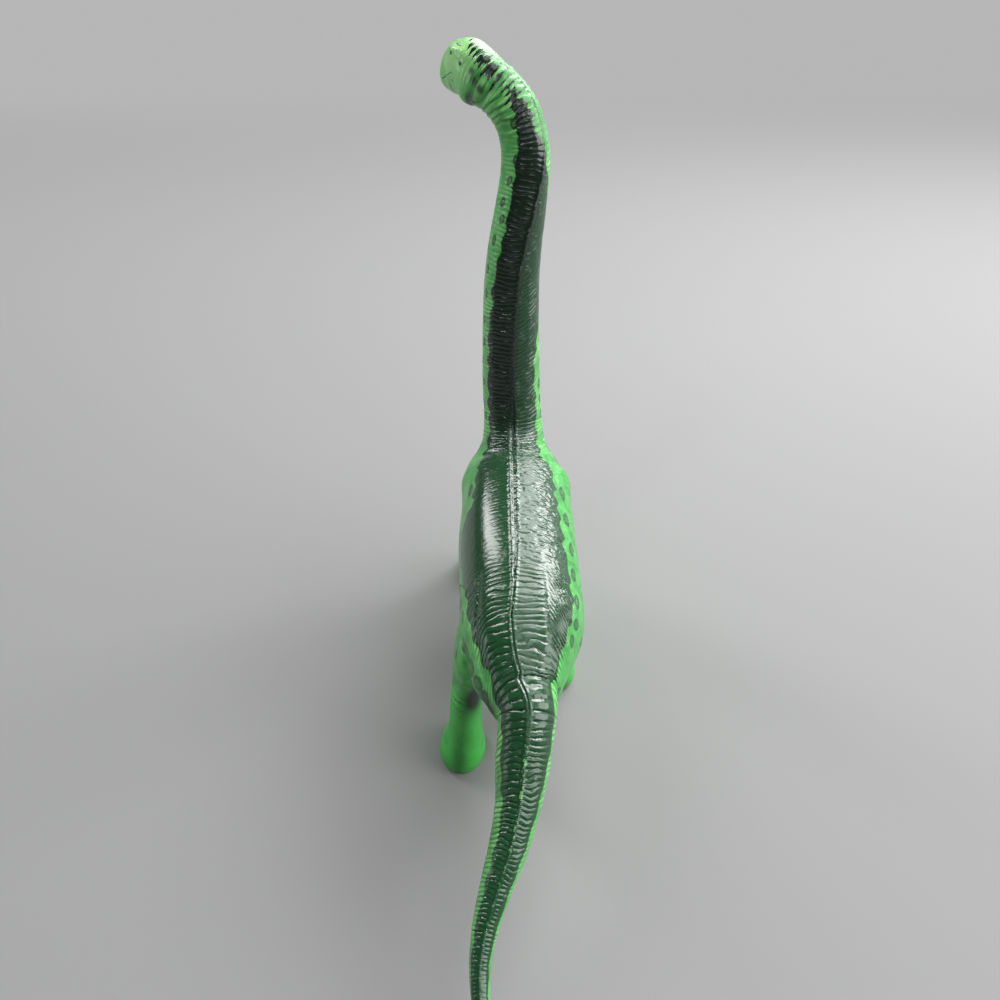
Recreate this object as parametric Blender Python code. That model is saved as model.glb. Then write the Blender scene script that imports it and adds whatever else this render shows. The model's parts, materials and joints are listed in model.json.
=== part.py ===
"""Toy long-necked dinosaur: hollow moulded shells with swivelling legs, neck, head and tail.

The animal faces +Y, its right side is +X and it stands on z = 0. One spine curve runs from the
tail tip to the snout, and every body piece is a length of the skin swept along that spine. Each
leg takes a round disc out of the trunk's flank and turns with it about its hip or shoulder axis.
"""
from math import cos, pi, radians, sin

import bmesh
import bpy
from mathutils import Matrix, Vector

# Driving dimensions of the animal, in metres
HIP_TO_SHOULDER = 0.078
BACK_HEIGHT = 0.096
TRUNK_HALF_WIDTH = 0.025
TRUNK_HALF_DEPTH = 0.030
NECK_RISE = 0.140
NECK_HALF_WIDTH = 0.0136
TAIL_LENGTH = 0.116
TAIL_HALF_WIDTH = 0.0106
HEAD_LENGTH = 0.030
HEAD_HALF_WIDTH = 0.0092
KEEL_HEIGHT = 0.0009
KEEL_HALF_WIDTH = 0.0016
KEEL_FADE_DEPTH = 0.0040

# Leg sizes
HIP_AXIS_HEIGHT = 0.054
SHOULDER_AXIS_HEIGHT = 0.058
HIP_DISC_RADIUS = 0.021
SHOULDER_DISC_RADIUS = 0.020
DISC_FACE_X = 0.013
ARCH_FLARE = 0.008
HIND_LEG_WIDTH = 0.0126
FRONT_LEG_WIDTH = 0.0112
HIND_LEG_DEPTH = 0.0170
FRONT_LEG_DEPTH = 0.0150
TOE_COUNT = 3
TOE_SPREAD = radians(46)
HIND_LEFT_STRIDE = -0.018
HIND_RIGHT_STRIDE = 0.025
FRONT_LEFT_STRIDE = 0.019
FRONT_RIGHT_STRIDE = -0.017
HIND_LEFT_SPLAY = 0.0014
HIND_RIGHT_SPLAY = -0.0008
FRONT_SPLAY = 0.0004

# Moulding and fastener sizes
WALL = 0.0020
CLEARANCE = 0.0003
BULKHEAD = 0.0030
STUD_RADIUS = 0.0030
STUD_REACH = 0.0070
RETAINER_RADIUS = 0.0060
RETAINER_THICKNESS = 0.0020
NECK_SHAFT_RADIUS = 0.0045
NECK_FLANGE_RADIUS = 0.0070
TAIL_SHAFT_RADIUS = 0.0035
TAIL_FLANGE_RADIUS = 0.0058
HEAD_SHAFT_RADIUS = 0.0026
HEAD_FLANGE_RADIUS = 0.0044
FLANGE_THICKNESS = 0.0020
FLANGE_PLAY = 0.00045
BOSS_RADIUS = 0.0034
SCREW_RADIUS = 0.0011
SCREW_HEAD_RADIUS = 0.0023
SCREW_HEAD_HEIGHT = 0.0016
SCREW_LENGTH = 0.0130
SCREW_HEAD_SEAT_X = 0.0060
SCREW_SLOT_DEPTH = 0.0008
SCREW_POINT_SHARE = 0.4
SCREW_CROWN_SHARE = 0.8
SCREW_SLOT_SHARE = 0.6
PIN_RADIUS = 0.0012
PIN_LENGTH = 0.0035
TIP_PEG_RADIUS = 0.0017
TIP_PEG_LENGTH = 0.0065
TAIL_SOLID_END = 0.0140
NECK_SOLID_END = 0.0300
HOLLOW_SETBACK = 0.0055
MOUTH_DROP = 0.0052
JAW_SETBACK = 0.0095
CUT_OVERRUN = 0.0200
EMBED = 0.0015

# Mesh fineness
ARC_SIDES = 13
RING_SIDES = 22
ROUND_SIDES = 30
SMALL_SIDES = 12
SLOT_SIDES = 4
LUMP_SUBDIVISIONS = 2
STEPS_PER_ROW = 2
HOLLOW_SIDES = 16
HOLLOW_STEPS_PER_ROW = 1
TANGENT_STEP_ROWS = 0.02
WALK_STEP_ROWS = 0.01
SEAM_STEP_ROWS = 0.05
SKIN_ROUNDNESS = 2.25
SMOOTH_ANGLE = radians(40)

# Spine rows: along, height, side, half width left, half width right, depth up, depth down,
# then how far the back turns to the animal's right (degrees).
TRUNK_ROW_SHARES = [
    (-0.56, 0.620, 0.16, 0.43, 0.42, 0.40, 0.39, 0),
    (-0.44, 0.630, 0.12, 0.55, 0.56, 0.49, 0.46, 0),
    (-0.28, 0.630, 0.05, 0.70, 0.84, 0.68, 0.58, 0),
    (-0.13, 0.625, 0.01, 0.81, 1.03, 0.83, 0.68, 0),
    (0.08, 0.620, 0.00, 0.88, 1.13, 0.95, 0.76, 0),
    (0.32, 0.625, 0.00, 0.94, 1.14, 1.03, 0.84, 0),
    (0.58, 0.635, 0.00, 0.98, 1.12, 1.07, 0.87, 0),
    (0.83, 0.656, 0.00, 0.95, 1.10, 1.06, 0.87, 0),
    (1.03, 0.693, 0.00, 0.93, 1.07, 0.96, 0.90, 0),
    (1.18, 0.760, 0.00, 0.85, 0.91, 0.73, 0.83, 0),
    (1.28, 0.865, 0.00, 0.58, 0.64, 0.55, 0.68, 0),
    (1.34, 0.990, 0.00, 0.54, 0.56, 0.47, 0.53, 0),
]
# The same columns for the neck, measured from the trunk's last row: reach, rise and side are
# shares of the neck's rise, widths and depths of its half width.
NECK_ROW_SHARES = [
    (0.018, 0.093, -0.003, 0.99, 0.99, 1.00, 1.06, 0),
    (0.032, 0.207, -0.006, 0.96, 0.96, 0.97, 1.00, 2),
    (0.043, 0.336, -0.007, 0.92, 0.92, 0.93, 0.95, 6),
    (0.054, 0.464, -0.005, 0.87, 0.87, 0.88, 0.90, 13),
    (0.062, 0.579, 0.005, 0.81, 0.81, 0.82, 0.83, 24),
    (0.071, 0.679, 0.019, 0.75, 0.75, 0.76, 0.76, 36),
    (0.084, 0.779, 0.031, 0.70, 0.70, 0.71, 0.71, 46),
    (0.096, 0.860, 0.027, 0.68, 0.68, 0.68, 0.68, 58),
    (0.109, 0.928, 0.003, 0.67, 0.67, 0.67, 0.67, 66),
    (0.124, 0.976, -0.036, 0.67, 0.67, 0.67, 0.68, 66),
    (0.139, 1.002, -0.073, 0.66, 0.66, 0.67, 0.69, 60),
]
# The head continues from the neck's last row in shares of the head's length and half width.
HEAD_ROW_SHARES = [
    (0.16, 0.10, -0.17, 0.96, 0.96, 1.06, 1.12, 50),
    (0.33, 0.14, -0.30, 0.94, 0.94, 1.06, 1.20, 44),
    (0.50, 0.10, -0.40, 0.85, 0.85, 0.98, 1.12, 42),
    (0.66, 0.04, -0.49, 0.68, 0.68, 0.76, 0.88, 42),
    (0.77, 0.00, -0.54, 0.38, 0.38, 0.40, 0.48, 42),
]
# The tail runs from its tip to the trunk's first row in shares of the tail's length and half width.
TAIL_ROW_SHARES = [
    (-1.000, -0.370, -0.026, 0.09, 0.09, 0.10, 0.10, 0),
    (-0.897, -0.352, -0.078, 0.16, 0.16, 0.17, 0.17, 0),
    (-0.776, -0.322, -0.122, 0.23, 0.23, 0.25, 0.24, 0),
    (-0.638, -0.283, -0.140, 0.31, 0.31, 0.34, 0.32, 0),
    (-0.534, -0.245, -0.129, 0.40, 0.40, 0.44, 0.42, 0),
    (-0.431, -0.207, -0.098, 0.51, 0.51, 0.56, 0.54, 0),
    (-0.328, -0.164, -0.060, 0.64, 0.64, 0.69, 0.67, 0),
    (-0.224, -0.119, -0.032, 0.75, 0.75, 0.83, 0.80, 0),
    (-0.121, -0.069, -0.016, 0.91, 0.91, 0.99, 0.95, 0),
]
# Leg rows from the disc down to the sole: height as a share of the axis height, how far the
# stride has got, inner and outer edge past the disc face as shares of the leg's width, and
# the half length as a share of the leg's depth.
HIND_LEG_ROW_SHARES = [
    (1.12, 0.00, 0.06, 0.72, 0.70),
    (0.90, 0.18, 0.05, 0.90, 0.76),
    (0.75, 0.36, 0.04, 0.98, 0.61),
    (0.59, 0.60, 0.04, 1.00, 0.51),
    (0.41, 0.84, 0.03, 1.02, 0.46),
    (0.25, 0.96, -0.02, 1.10, 0.49),
    (0.12, 1.00, -0.12, 1.31, 0.63),
    (0.05, 1.00, -0.14, 1.38, 0.69),
    (0.00, 1.00, -0.11, 1.34, 0.66),
]
FRONT_LEG_ROW_SHARES = [
    (1.08, 0.00, 0.06, 0.80, 0.72),
    (0.88, 0.22, 0.05, 0.94, 0.74),
    (0.73, 0.38, 0.04, 1.00, 0.62),
    (0.56, 0.58, 0.04, 1.02, 0.52),
    (0.36, 0.82, 0.03, 1.00, 0.46),
    (0.21, 0.93, -0.02, 1.06, 0.49),
    (0.10, 1.00, -0.14, 1.20, 0.61),
    (0.04, 1.00, -0.18, 1.26, 0.65),
    (0.00, 1.00, -0.14, 1.21, 0.62),
]
# Muscles of a leg: how far ahead as a share of the half length there, outward as a share of the
# leg's width, height as a share of the axis height, then half sizes across, along and up as
# shares of the leg's width, its depth and the axis height.
HIND_MUSCLE_ROW_SHARES = [
    (-0.70, 0.45, 0.96, 0.40, 0.50, 0.20),
    (0.48, 0.52, 0.88, 0.36, 0.42, 0.17),
    (0.34, 0.64, 0.60, 0.36, 0.33, 0.13),
]
FRONT_MUSCLE_ROW_SHARES = [
    (-0.70, 0.50, 0.96, 0.42, 0.50, 0.18),
    (0.60, 0.52, 0.90, 0.42, 0.47, 0.19),
    (-0.60, 0.58, 0.60, 0.38, 0.34, 0.11),
]
# Toes round the front of a foot: how far out they sit as a share of the foot's half sizes, and
# their half sizes across, along and up as shares of the foot's half width.
TOE_REACH_SHARE = 0.84
TOE_SIZE_SHARES = (0.36, 0.42, 0.34)
# Screw and pin places in the trunk, as shares of hip to shoulder and of the back's height
SCREW_PLACE_SHARES = [(-0.385, 0.55), (0.36, 0.46), (0.69, 0.47), (1.29, 0.68)]
PIN_PLACE_SHARES = [(-0.13, 0.82), (0.51, 0.875), (1.05, 0.875)]

LIME = (0.16, 0.56, 0.10, 1.0)
DARK_GREEN = (0.02, 0.10, 0.05, 1.0)
PALE_PLASTIC = (0.62, 0.64, 0.60, 1.0)
STEEL = (0.55, 0.56, 0.58, 1.0)


def clear_scene():
    """Remove every object, so that the script can be run again."""
    for item in list(bpy.data.objects):
        bpy.data.objects.remove(item, do_unlink=True)


def make_material(name, colour, roughness, metallic=0.0):
    """A plain Principled material for one piece."""
    material = bpy.data.materials.new(name)
    material.use_nodes = True
    shader = material.node_tree.nodes["Principled BSDF"]
    shader.inputs["Base Color"].default_value = colour
    shader.inputs["Roughness"].default_value = roughness
    shader.inputs["Metallic"].default_value = metallic
    return material


def spine_rows():
    """All spine rows in metres, from tail tip to snout."""
    trunk = []
    for along, height, side, left, right, up, down, turn in TRUNK_ROW_SHARES:
        centre = Vector((
            side * TRUNK_HALF_WIDTH,
            along * HIP_TO_SHOULDER,
            height * BACK_HEIGHT,
        ))
        trunk.append((
            centre,
            left * TRUNK_HALF_WIDTH,
            right * TRUNK_HALF_WIDTH,
            up * TRUNK_HALF_DEPTH,
            down * TRUNK_HALF_DEPTH,
            turn,
        ))
    tail = offset_rows(TAIL_ROW_SHARES, trunk[0][0], TAIL_LENGTH, TAIL_HALF_WIDTH)
    neck = offset_rows(NECK_ROW_SHARES, trunk[-1][0], NECK_RISE, NECK_HALF_WIDTH)
    head = offset_rows(HEAD_ROW_SHARES, neck[-1][0], HEAD_LENGTH, HEAD_HALF_WIDTH)
    return tail + trunk + neck + head


def offset_rows(shares, start, length, half_width):
    """Rows placed from a starting point, in metres."""
    rows = []
    for along, height, side, left, right, up, down, turn in shares:
        centre = start + Vector((side, along, height)) * length
        widths = [value * half_width for value in (left, right, up, down)]
        rows.append((centre, *widths, turn))
    return rows


def blend(a, b, c, d, share):
    """Catmull-Rom value between b and c."""
    square = share * share
    cube = square * share
    return 0.5 * (
        2.0 * b
        + (c - a) * share
        + (2.0 * a - 5.0 * b + 4.0 * c - d) * square
        + (3.0 * b - a - 3.0 * c + d) * cube
    )


class Spine:
    """The curve from tail tip to snout, with the skin's half widths and depths along it."""

    def __init__(self, rows):
        self.rows = rows
        self.end = len(rows) - 1.0

    def row(self, place):
        """Interpolated row at a place counted in rows."""
        place = min(max(place, 0.0), self.end)
        first = min(int(place), len(self.rows) - 2)
        share = place - first
        near = [self.rows[min(max(first + k, 0), len(self.rows) - 1)] for k in (-1, 0, 1, 2)]
        return [blend(*(row[column] for row in near), share) for column in range(6)]

    def frame(self, place):
        """Centre, side, back and forward directions at a place."""
        before = self.row(place - TANGENT_STEP_ROWS)[0]
        after = self.row(place + TANGENT_STEP_ROWS)[0]
        forward = (after - before).normalized()
        row = self.row(place)
        turn = radians(row[5])
        back = Vector((sin(turn), -cos(turn), 1.0))
        back = (back - forward * back.dot(forward)).normalized()
        side = forward.cross(back)
        return row[0], side, back, forward

    def past(self, place, distance):
        """The place that lies a distance in metres further on (or back, where negative)."""
        step = WALK_STEP_ROWS if distance > 0 else -WALK_STEP_ROWS
        travelled = 0.0
        here = self.row(place)[0]
        while travelled < abs(distance) and 0.0 < place + step < self.end:
            place += step
            there = self.row(place)[0]
            travelled += (there - here).length
            here = there
        return place

    def skin_point(self, place, angle, inset=0.0):
        """A point of the skin: angle 0 is the right side, pi / 2 the back."""
        centre, side, back, _ = self.frame(place)
        _, left, right, up, down, _ = self.row(place)
        power = 2.0 / SKIN_ROUNDNESS
        across = abs(cos(angle)) ** power
        along = abs(sin(angle)) ** power
        width = (right if cos(angle) > 0 else left) - inset
        depth = (up if sin(angle) > 0 else down) - inset
        out = across * width * (1.0 if cos(angle) > 0 else -1.0)
        rise = along * depth * (1.0 if sin(angle) > 0 else -1.0)
        if sin(angle) > 0 and inset == 0.0:
            fade = min(1.0, up / KEEL_FADE_DEPTH)
            rise += fade * KEEL_HEIGHT * 2.0 ** -((out / KEEL_HALF_WIDTH) ** 2)
        return centre + side * out + back * rise, side


SPINE = Spine(spine_rows())
TAIL_TIP = 0.0
TIP_CUT = 4.0
TAIL_CUT = float(len(TAIL_ROW_SHARES))
NECK_CUT = TAIL_CUT + len(TRUNK_ROW_SHARES) - 1
HEAD_CUT = NECK_CUT + len(NECK_ROW_SHARES)
SNOUT = SPINE.end
MUZZLE = HEAD_CUT + 3.5


def places_between(start, end, steps_per_row):
    """Evenly spread places along the spine, with both ends."""
    count = max(2, int(round((end - start) * steps_per_row)))
    return [start + (end - start) * k / count for k in range(count + 1)]


def loft(name, rings, split_last=False):
    """A closed solid through rings of equal point counts, flat at both ends.

    The strip between the last and the first point is split along one fixed diagonal where
    asked, so that two half shells that meet along a twisted strip keep an even gap.
    """
    mesh = bpy.data.meshes.new(name)
    build = bmesh.new()
    rows = [[build.verts.new(point) for point in ring] for ring in rings]
    count = len(rows[0])
    for near, far in zip(rows, rows[1:]):
        for k in range(count):
            following = (k + 1) % count
            if split_last and following == 0:
                build.faces.new((near[k], near[following], far[following]))
                build.faces.new((near[k], far[following], far[k]))
            else:
                build.faces.new((near[k], near[following], far[following], far[k]))
    build.faces.new(list(reversed(rows[0])))
    build.faces.new(rows[-1])
    bmesh.ops.recalc_face_normals(build, faces=build.faces)
    build.to_mesh(mesh)
    build.free()
    return add_object(name, mesh)


def add_object(name, mesh):
    """Put a mesh in the scene with smooth shading and kept sharp edges."""
    mesh.shade_smooth()
    mesh.set_sharp_from_angle(angle=SMOOTH_ANGLE)
    item = bpy.data.objects.new(name, mesh)
    bpy.context.scene.collection.objects.link(item)
    return item


def skin_ring(place, sides, inset=0.0):
    """A whole ring of the skin."""
    return [SPINE.skin_point(place, 2.0 * pi * k / sides, inset)[0] for k in range(sides)]


def half_ring(place, hand):
    """The left or right half of a ring, half a clearance off the middle."""
    points = []
    for k in range(ARC_SIDES + 1):
        turn = pi / 2.0 - pi * k / ARC_SIDES
        angle = turn if hand > 0 else pi - turn
        point, side = SPINE.skin_point(place, angle)
        points.append(point + side * hand * CLEARANCE / 2.0)
    return points


def skin_solid(name, start, end):
    """A whole length of the skin as a solid."""
    places = places_between(start, end, STEPS_PER_ROW)
    return loft(name, [skin_ring(place, RING_SIDES) for place in places])


def hollow_solid(name, start, end):
    """The inside of a length of the skin, a wall below its surface."""
    places = places_between(start, end, HOLLOW_STEPS_PER_ROW)
    return loft(name, [skin_ring(place, HOLLOW_SIDES, WALL) for place in places])


def half_solid(name, start, end, hand):
    """The left or right half of a length of the skin."""
    places = places_between(start, end, STEPS_PER_ROW)
    return loft(name, [half_ring(place, hand) for place in places], split_last=True)


def turned(name, profile, origin, axis, sides):
    """A turned solid: profile of (distance along the axis, radius) between two end caps."""
    direction = axis.normalized()
    across = direction.orthogonal().normalized()
    other = direction.cross(across)
    rings = []
    for distance, radius in profile:
        ring = []
        for k in range(sides):
            angle = 2.0 * pi * k / sides
            spoke = across * cos(angle) + other * sin(angle)
            ring.append(origin + direction * distance + spoke * radius)
        rings.append(ring)
    return loft(name, rings)


def rod(name, origin, axis, start, end, radius, sides=ROUND_SIDES):
    """A plain cylinder between two distances along an axis."""
    return turned(name, [(start, radius), (end, radius)], origin, axis, sides)


def arch(name, centre, hand, start, end, radius):
    """A round-topped slot across the flank, open below so that the leg can swing."""
    rings = []
    for distance in (start, end):
        middle = Vector((hand * distance, centre.y, centre.z))
        ring = [
            middle + Vector((0.0, cos(angle), sin(angle))) * radius
            for angle in (pi * k / (ROUND_SIDES // 2) for k in range(ROUND_SIDES // 2 + 1))
        ]
        foot = radius + ARCH_FLARE
        ring.append(middle - Vector((0.0, foot, centre.z + CUT_OVERRUN)))
        ring.append(middle - Vector((0.0, -foot, centre.z + CUT_OVERRUN)))
        rings.append(ring)
    return loft(name, rings)


def combine(target, other, operation, solver="EXACT"):
    """Cut, join or intersect one object with another, which becomes a guide."""
    modifier = target.modifiers.new(operation.title() + " " + other.name, "BOOLEAN")
    modifier.operation = operation
    modifier.solver = solver
    modifier.object = other
    other.hide_render = True
    other.display_type = "WIRE"


def cut(target, *others, solver="EXACT"):
    """Take other shapes out of a target."""
    for other in others:
        combine(target, other, "DIFFERENCE", solver)


def cut_skin(target, *others):
    """Take shapes out of a length of the skin, where the exact solver can lose the far side."""
    cut(target, *others, solver="MANIFOLD")


def trunk_point(shares):
    """A place where the trunk's two halves meet, from its shares."""
    along, height = shares
    place = TAIL_CUT
    while place < NECK_CUT and SPINE.row(place)[0].y < along * HIP_TO_SHOULDER:
        place += SEAM_STEP_ROWS
    return Vector((SPINE.row(place)[0].x, along * HIP_TO_SHOULDER, height * BACK_HEIGHT))


def leg_axis_point(pair):
    """Where a pair's axis crosses the middle plane."""
    if pair == "hind":
        return Vector((0.0, 0.0, HIP_AXIS_HEIGHT))
    return Vector((0.0, HIP_TO_SHOULDER, SHOULDER_AXIS_HEIGHT))


def disc_radius(pair):
    """The flank disc's radius."""
    return HIP_DISC_RADIUS if pair == "hind" else SHOULDER_DISC_RADIUS


def trunk_hollow():
    """The trunk's inside with room for the retainers, less the leg cups and the bosses."""
    start = SPINE.past(TAIL_CUT, HOLLOW_SETBACK)
    end = SPINE.past(NECK_CUT, -HOLLOW_SETBACK)
    hollow = hollow_solid("trunk_hollow", start, end)
    x_axis = Vector((1.0, 0.0, 0.0))
    reach = TRUNK_HALF_WIDTH + CUT_OVERRUN
    cup_floor = DISC_FACE_X - CLEARANCE - WALL
    room_radius = RETAINER_RADIUS + CLEARANCE
    for pair in ("hind", "front"):
        centre = leg_axis_point(pair)
        room = rod(pair + "_retainer_room", centre, x_axis, -cup_floor, cup_floor, room_radius)
        combine(hollow, room, "UNION", "MANIFOLD")
        for hand in (-1.0, 1.0):
            radius = disc_radius(pair) + CLEARANCE + WALL
            cup = arch(pair + "_cup", centre, hand, cup_floor, reach, radius)
            cut_skin(hollow, cup)
    for shares in SCREW_PLACE_SHARES + PIN_PLACE_SHARES:
        boss = rod("boss", trunk_point(shares), x_axis, -reach, reach, BOSS_RADIUS, SMALL_SIDES)
        cut_skin(hollow, boss)
    hollow.hide_render = True
    hollow.display_type = "WIRE"
    return hollow


def torso_shells(neck_socket, tail_socket):
    """The two half shells of the trunk."""
    hollow = trunk_hollow()
    x_axis = Vector((1.0, 0.0, 0.0))
    reach = TRUNK_HALF_WIDTH + CUT_OVERRUN
    for name, hand in (("torso_left_shell", -1.0), ("torso_right_shell", 1.0)):
        shell = half_solid(name, TAIL_CUT, NECK_CUT, hand)
        cut_skin(shell, hollow, *neck_socket, *tail_socket)
        for pair in ("hind", "front"):
            centre = leg_axis_point(pair)
            pocket = arch(
                name + "_pocket",
                centre,
                hand,
                DISC_FACE_X - CLEARANCE,
                reach,
                disc_radius(pair) + CLEARANCE,
            )
            bore = rod(
                name + "_stud_bore",
                centre,
                x_axis * hand,
                0.0,
                reach,
                STUD_RADIUS + CLEARANCE,
                SMALL_SIDES,
            )
            cut_skin(shell, pocket, bore)
        for shares in SCREW_PLACE_SHARES:
            cut_skin(shell, *screw_holes(trunk_point(shares), hand))
        for shares in PIN_PLACE_SHARES:
            add_locating_pin(shell, trunk_point(shares), hand)
        finish_piece(shell, DARK_GREEN, 0.3)


def screw_holes(centre, hand):
    """The thread hole on the left, or the through hole and counterbore on the right."""
    x_axis = Vector((1.0, 0.0, 0.0))
    hole_radius = SCREW_RADIUS + CLEARANCE
    tip = SCREW_LENGTH - SCREW_HEAD_SEAT_X + CLEARANCE
    if hand < 0:
        return [rod("thread_hole", centre, -x_axis, -EMBED, tip, hole_radius, SMALL_SIDES)]
    seat = SCREW_HEAD_SEAT_X
    through = rod("through_hole", centre, x_axis, -EMBED, seat + EMBED, hole_radius, SMALL_SIDES)
    reach = TRUNK_HALF_WIDTH + CUT_OVERRUN
    counterbore = rod(
        "counterbore",
        centre,
        x_axis,
        seat,
        reach,
        SCREW_HEAD_RADIUS + CLEARANCE,
        SMALL_SIDES,
    )
    return [through, counterbore]


def add_locating_pin(shell, centre, hand):
    """A pin on the left shell and its socket in the right one."""
    x_axis = Vector((1.0, 0.0, 0.0))
    if hand < 0:
        pin = rod("pin", centre, x_axis, -EMBED, PIN_LENGTH, PIN_RADIUS, SMALL_SIDES)
        combine(shell, pin, "UNION", "MANIFOLD")
        return
    socket = rod(
        "pin_socket",
        centre,
        x_axis,
        -EMBED,
        PIN_LENGTH + CLEARANCE,
        PIN_RADIUS + CLEARANCE,
        SMALL_SIDES,
    )
    cut_skin(shell, socket)


def screws():
    """Cross-slotted screws that close the trunk from its right side."""
    for number, shares in enumerate(SCREW_PLACE_SHARES, start=1):
        seat = SCREW_HEAD_SEAT_X + CLEARANCE
        profile = [
            (seat - SCREW_LENGTH, SCREW_RADIUS * SCREW_POINT_SHARE),
            (seat - SCREW_LENGTH + SCREW_RADIUS, SCREW_RADIUS),
            (seat, SCREW_RADIUS),
            (seat, SCREW_HEAD_RADIUS),
            (seat + SCREW_HEAD_HEIGHT, SCREW_HEAD_RADIUS * SCREW_CROWN_SHARE),
        ]
        centre = trunk_point(shares)
        x_axis = Vector((1.0, 0.0, 0.0))
        screw = turned("torso_screw_%d" % number, profile, centre, x_axis, SMALL_SIDES)
        for direction in (Vector((0.0, 1.0, 0.0)), Vector((0.0, 0.0, 1.0))):
            top = centre + x_axis * (seat + SCREW_HEAD_HEIGHT)
            half = SCREW_HEAD_RADIUS * SCREW_SLOT_SHARE
            slot = rod("slot", top, direction, -half, half, SCREW_SLOT_DEPTH, SLOT_SIDES)
            cut(screw, slot)
        finish_piece(screw, STEEL, 0.35, 1.0)


def leg_column(name, shares, axis_point, hand, step, width, depth):
    """The leg below its disc, as level rings from the disc to the sole."""
    stride, splay = step
    rings = []
    for height, progress, inner, outer, half_length in shares:
        inside = DISC_FACE_X + inner * width + max(0.0, splay) * progress * (1.0 - height)
        outside = DISC_FACE_X + outer * width + splay * progress * (1.0 - height)
        centre = Vector((
            hand * (inside + outside) / 2.0,
            axis_point.y + progress * stride,
            height * axis_point.z,
        ))
        ring = []
        for k in range(RING_SIDES):
            angle = 2.0 * pi * k / RING_SIDES
            across = cos(angle) * (outside - inside) / 2.0
            along = sin(angle) * half_length * depth
            ring.append(centre + Vector((across, along, 0.0)))
        rings.append(ring)
    return loft(name, rings)


def lump(name, centre, half_sizes):
    """A closed rounded lump."""
    mesh = bpy.data.meshes.new(name)
    build = bmesh.new()
    bmesh.ops.create_icosphere(build, subdivisions=LUMP_SUBDIVISIONS, radius=1.0)
    matrix = Matrix.Translation(centre) @ Matrix.Diagonal((*half_sizes, 1.0))
    bmesh.ops.transform(build, matrix=matrix, verts=build.verts)
    build.to_mesh(mesh)
    build.free()
    return add_object(name, mesh)


def leg_row(shares, height):
    """A leg row's values at a height share, read in a straight line between the rows."""
    for upper, lower in zip(shares, shares[1:]):
        if upper[0] >= height >= lower[0]:
            share = (upper[0] - height) / (upper[0] - lower[0])
            return [a + (b - a) * share for a, b in zip(upper, lower)]
    return list(shares[-1])


def add_muscles(piece, shares, muscles, axis_point, hand, stride, width, depth):
    """Thigh and knee, or shoulder and elbow, on a leg."""
    for ahead, out, height, across, along, up in muscles:
        _, progress, _, _, half_length = leg_row(shares, height)
        centre = Vector((
            hand * (DISC_FACE_X + out * width),
            axis_point.y + progress * stride + ahead * half_length * depth,
            height * axis_point.z,
        ))
        half_sizes = (across * width, along * depth, up * axis_point.z)
        combine(piece, lump(piece.name + "_muscle", centre, half_sizes), "UNION", "MANIFOLD")


def add_toes(piece, shares, axis_point, hand, step, width, depth):
    """Blunt toes round the front of the foot, level with its sole."""
    stride, splay = step
    height, progress, inner, outer, half_length = shares[-1]
    inside = DISC_FACE_X + inner * width + max(0.0, splay) * progress * (1.0 - height)
    outside = DISC_FACE_X + outer * width + splay * progress * (1.0 - height)
    half_width = (outside - inside) / 2.0
    half_sizes = [share * half_width for share in TOE_SIZE_SHARES]
    for k in range(TOE_COUNT):
        angle = pi / 2.0 + (k - (TOE_COUNT - 1) / 2.0) * TOE_SPREAD
        centre = Vector((
            hand * (inside + outside) / 2.0 + cos(angle) * half_width * TOE_REACH_SHARE,
            axis_point.y + progress * stride + sin(angle) * half_length * depth * TOE_REACH_SHARE,
            half_sizes[2],
        ))
        combine(piece, lump(piece.name + "_toe", centre, half_sizes), "UNION", "MANIFOLD")


def leg(pair, hand, step):
    """A leg with its flank disc, stud and the retainer on the stud."""
    name = "%s_%s_leg" % (pair, "left" if hand < 0 else "right")
    hind = pair == "hind"
    shares = HIND_LEG_ROW_SHARES if hind else FRONT_LEG_ROW_SHARES
    muscles = HIND_MUSCLE_ROW_SHARES if hind else FRONT_MUSCLE_ROW_SHARES
    width = HIND_LEG_WIDTH if hind else FRONT_LEG_WIDTH
    depth = HIND_LEG_DEPTH if hind else FRONT_LEG_DEPTH
    centre = leg_axis_point(pair)
    outward = Vector((hand, 0.0, 0.0))
    reach = TRUNK_HALF_WIDTH + CUT_OVERRUN
    piece = rod(name, centre, outward, DISC_FACE_X, reach, disc_radius(pair))
    flank = skin_solid(name + "_flank", TAIL_CUT, NECK_CUT)
    combine(piece, flank, "INTERSECT", "MANIFOLD")
    column = leg_column(name + "_column", shares, centre, hand, step, width, depth)
    combine(piece, column, "UNION", "MANIFOLD")
    add_muscles(piece, shares, muscles, centre, hand, step[0], width, depth)
    add_toes(piece, shares, centre, hand, step, width, depth)
    stud_end = DISC_FACE_X - STUD_REACH
    stud = rod(
        name + "_stud",
        centre,
        outward,
        stud_end,
        DISC_FACE_X + EMBED,
        STUD_RADIUS,
        SMALL_SIDES,
    )
    combine(piece, stud, "UNION", "MANIFOLD")
    finish_piece(piece, LIME, 0.3)
    hang_on_axis(piece, centre, outward)
    washer_end = DISC_FACE_X - CLEARANCE - WALL - CLEARANCE
    washer = rod(
        name + "_retainer",
        centre,
        outward,
        washer_end - RETAINER_THICKNESS,
        washer_end,
        RETAINER_RADIUS,
        SMALL_SIDES,
    )
    bore = rod(
        name + "_retainer_bore",
        centre,
        outward,
        0.0,
        DISC_FACE_X,
        STUD_RADIUS + CLEARANCE,
        SMALL_SIDES,
    )
    cut(washer, bore)
    finish_piece(washer, PALE_PLASTIC, 0.5)
    hang_on_axis(washer, centre, outward)


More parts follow.
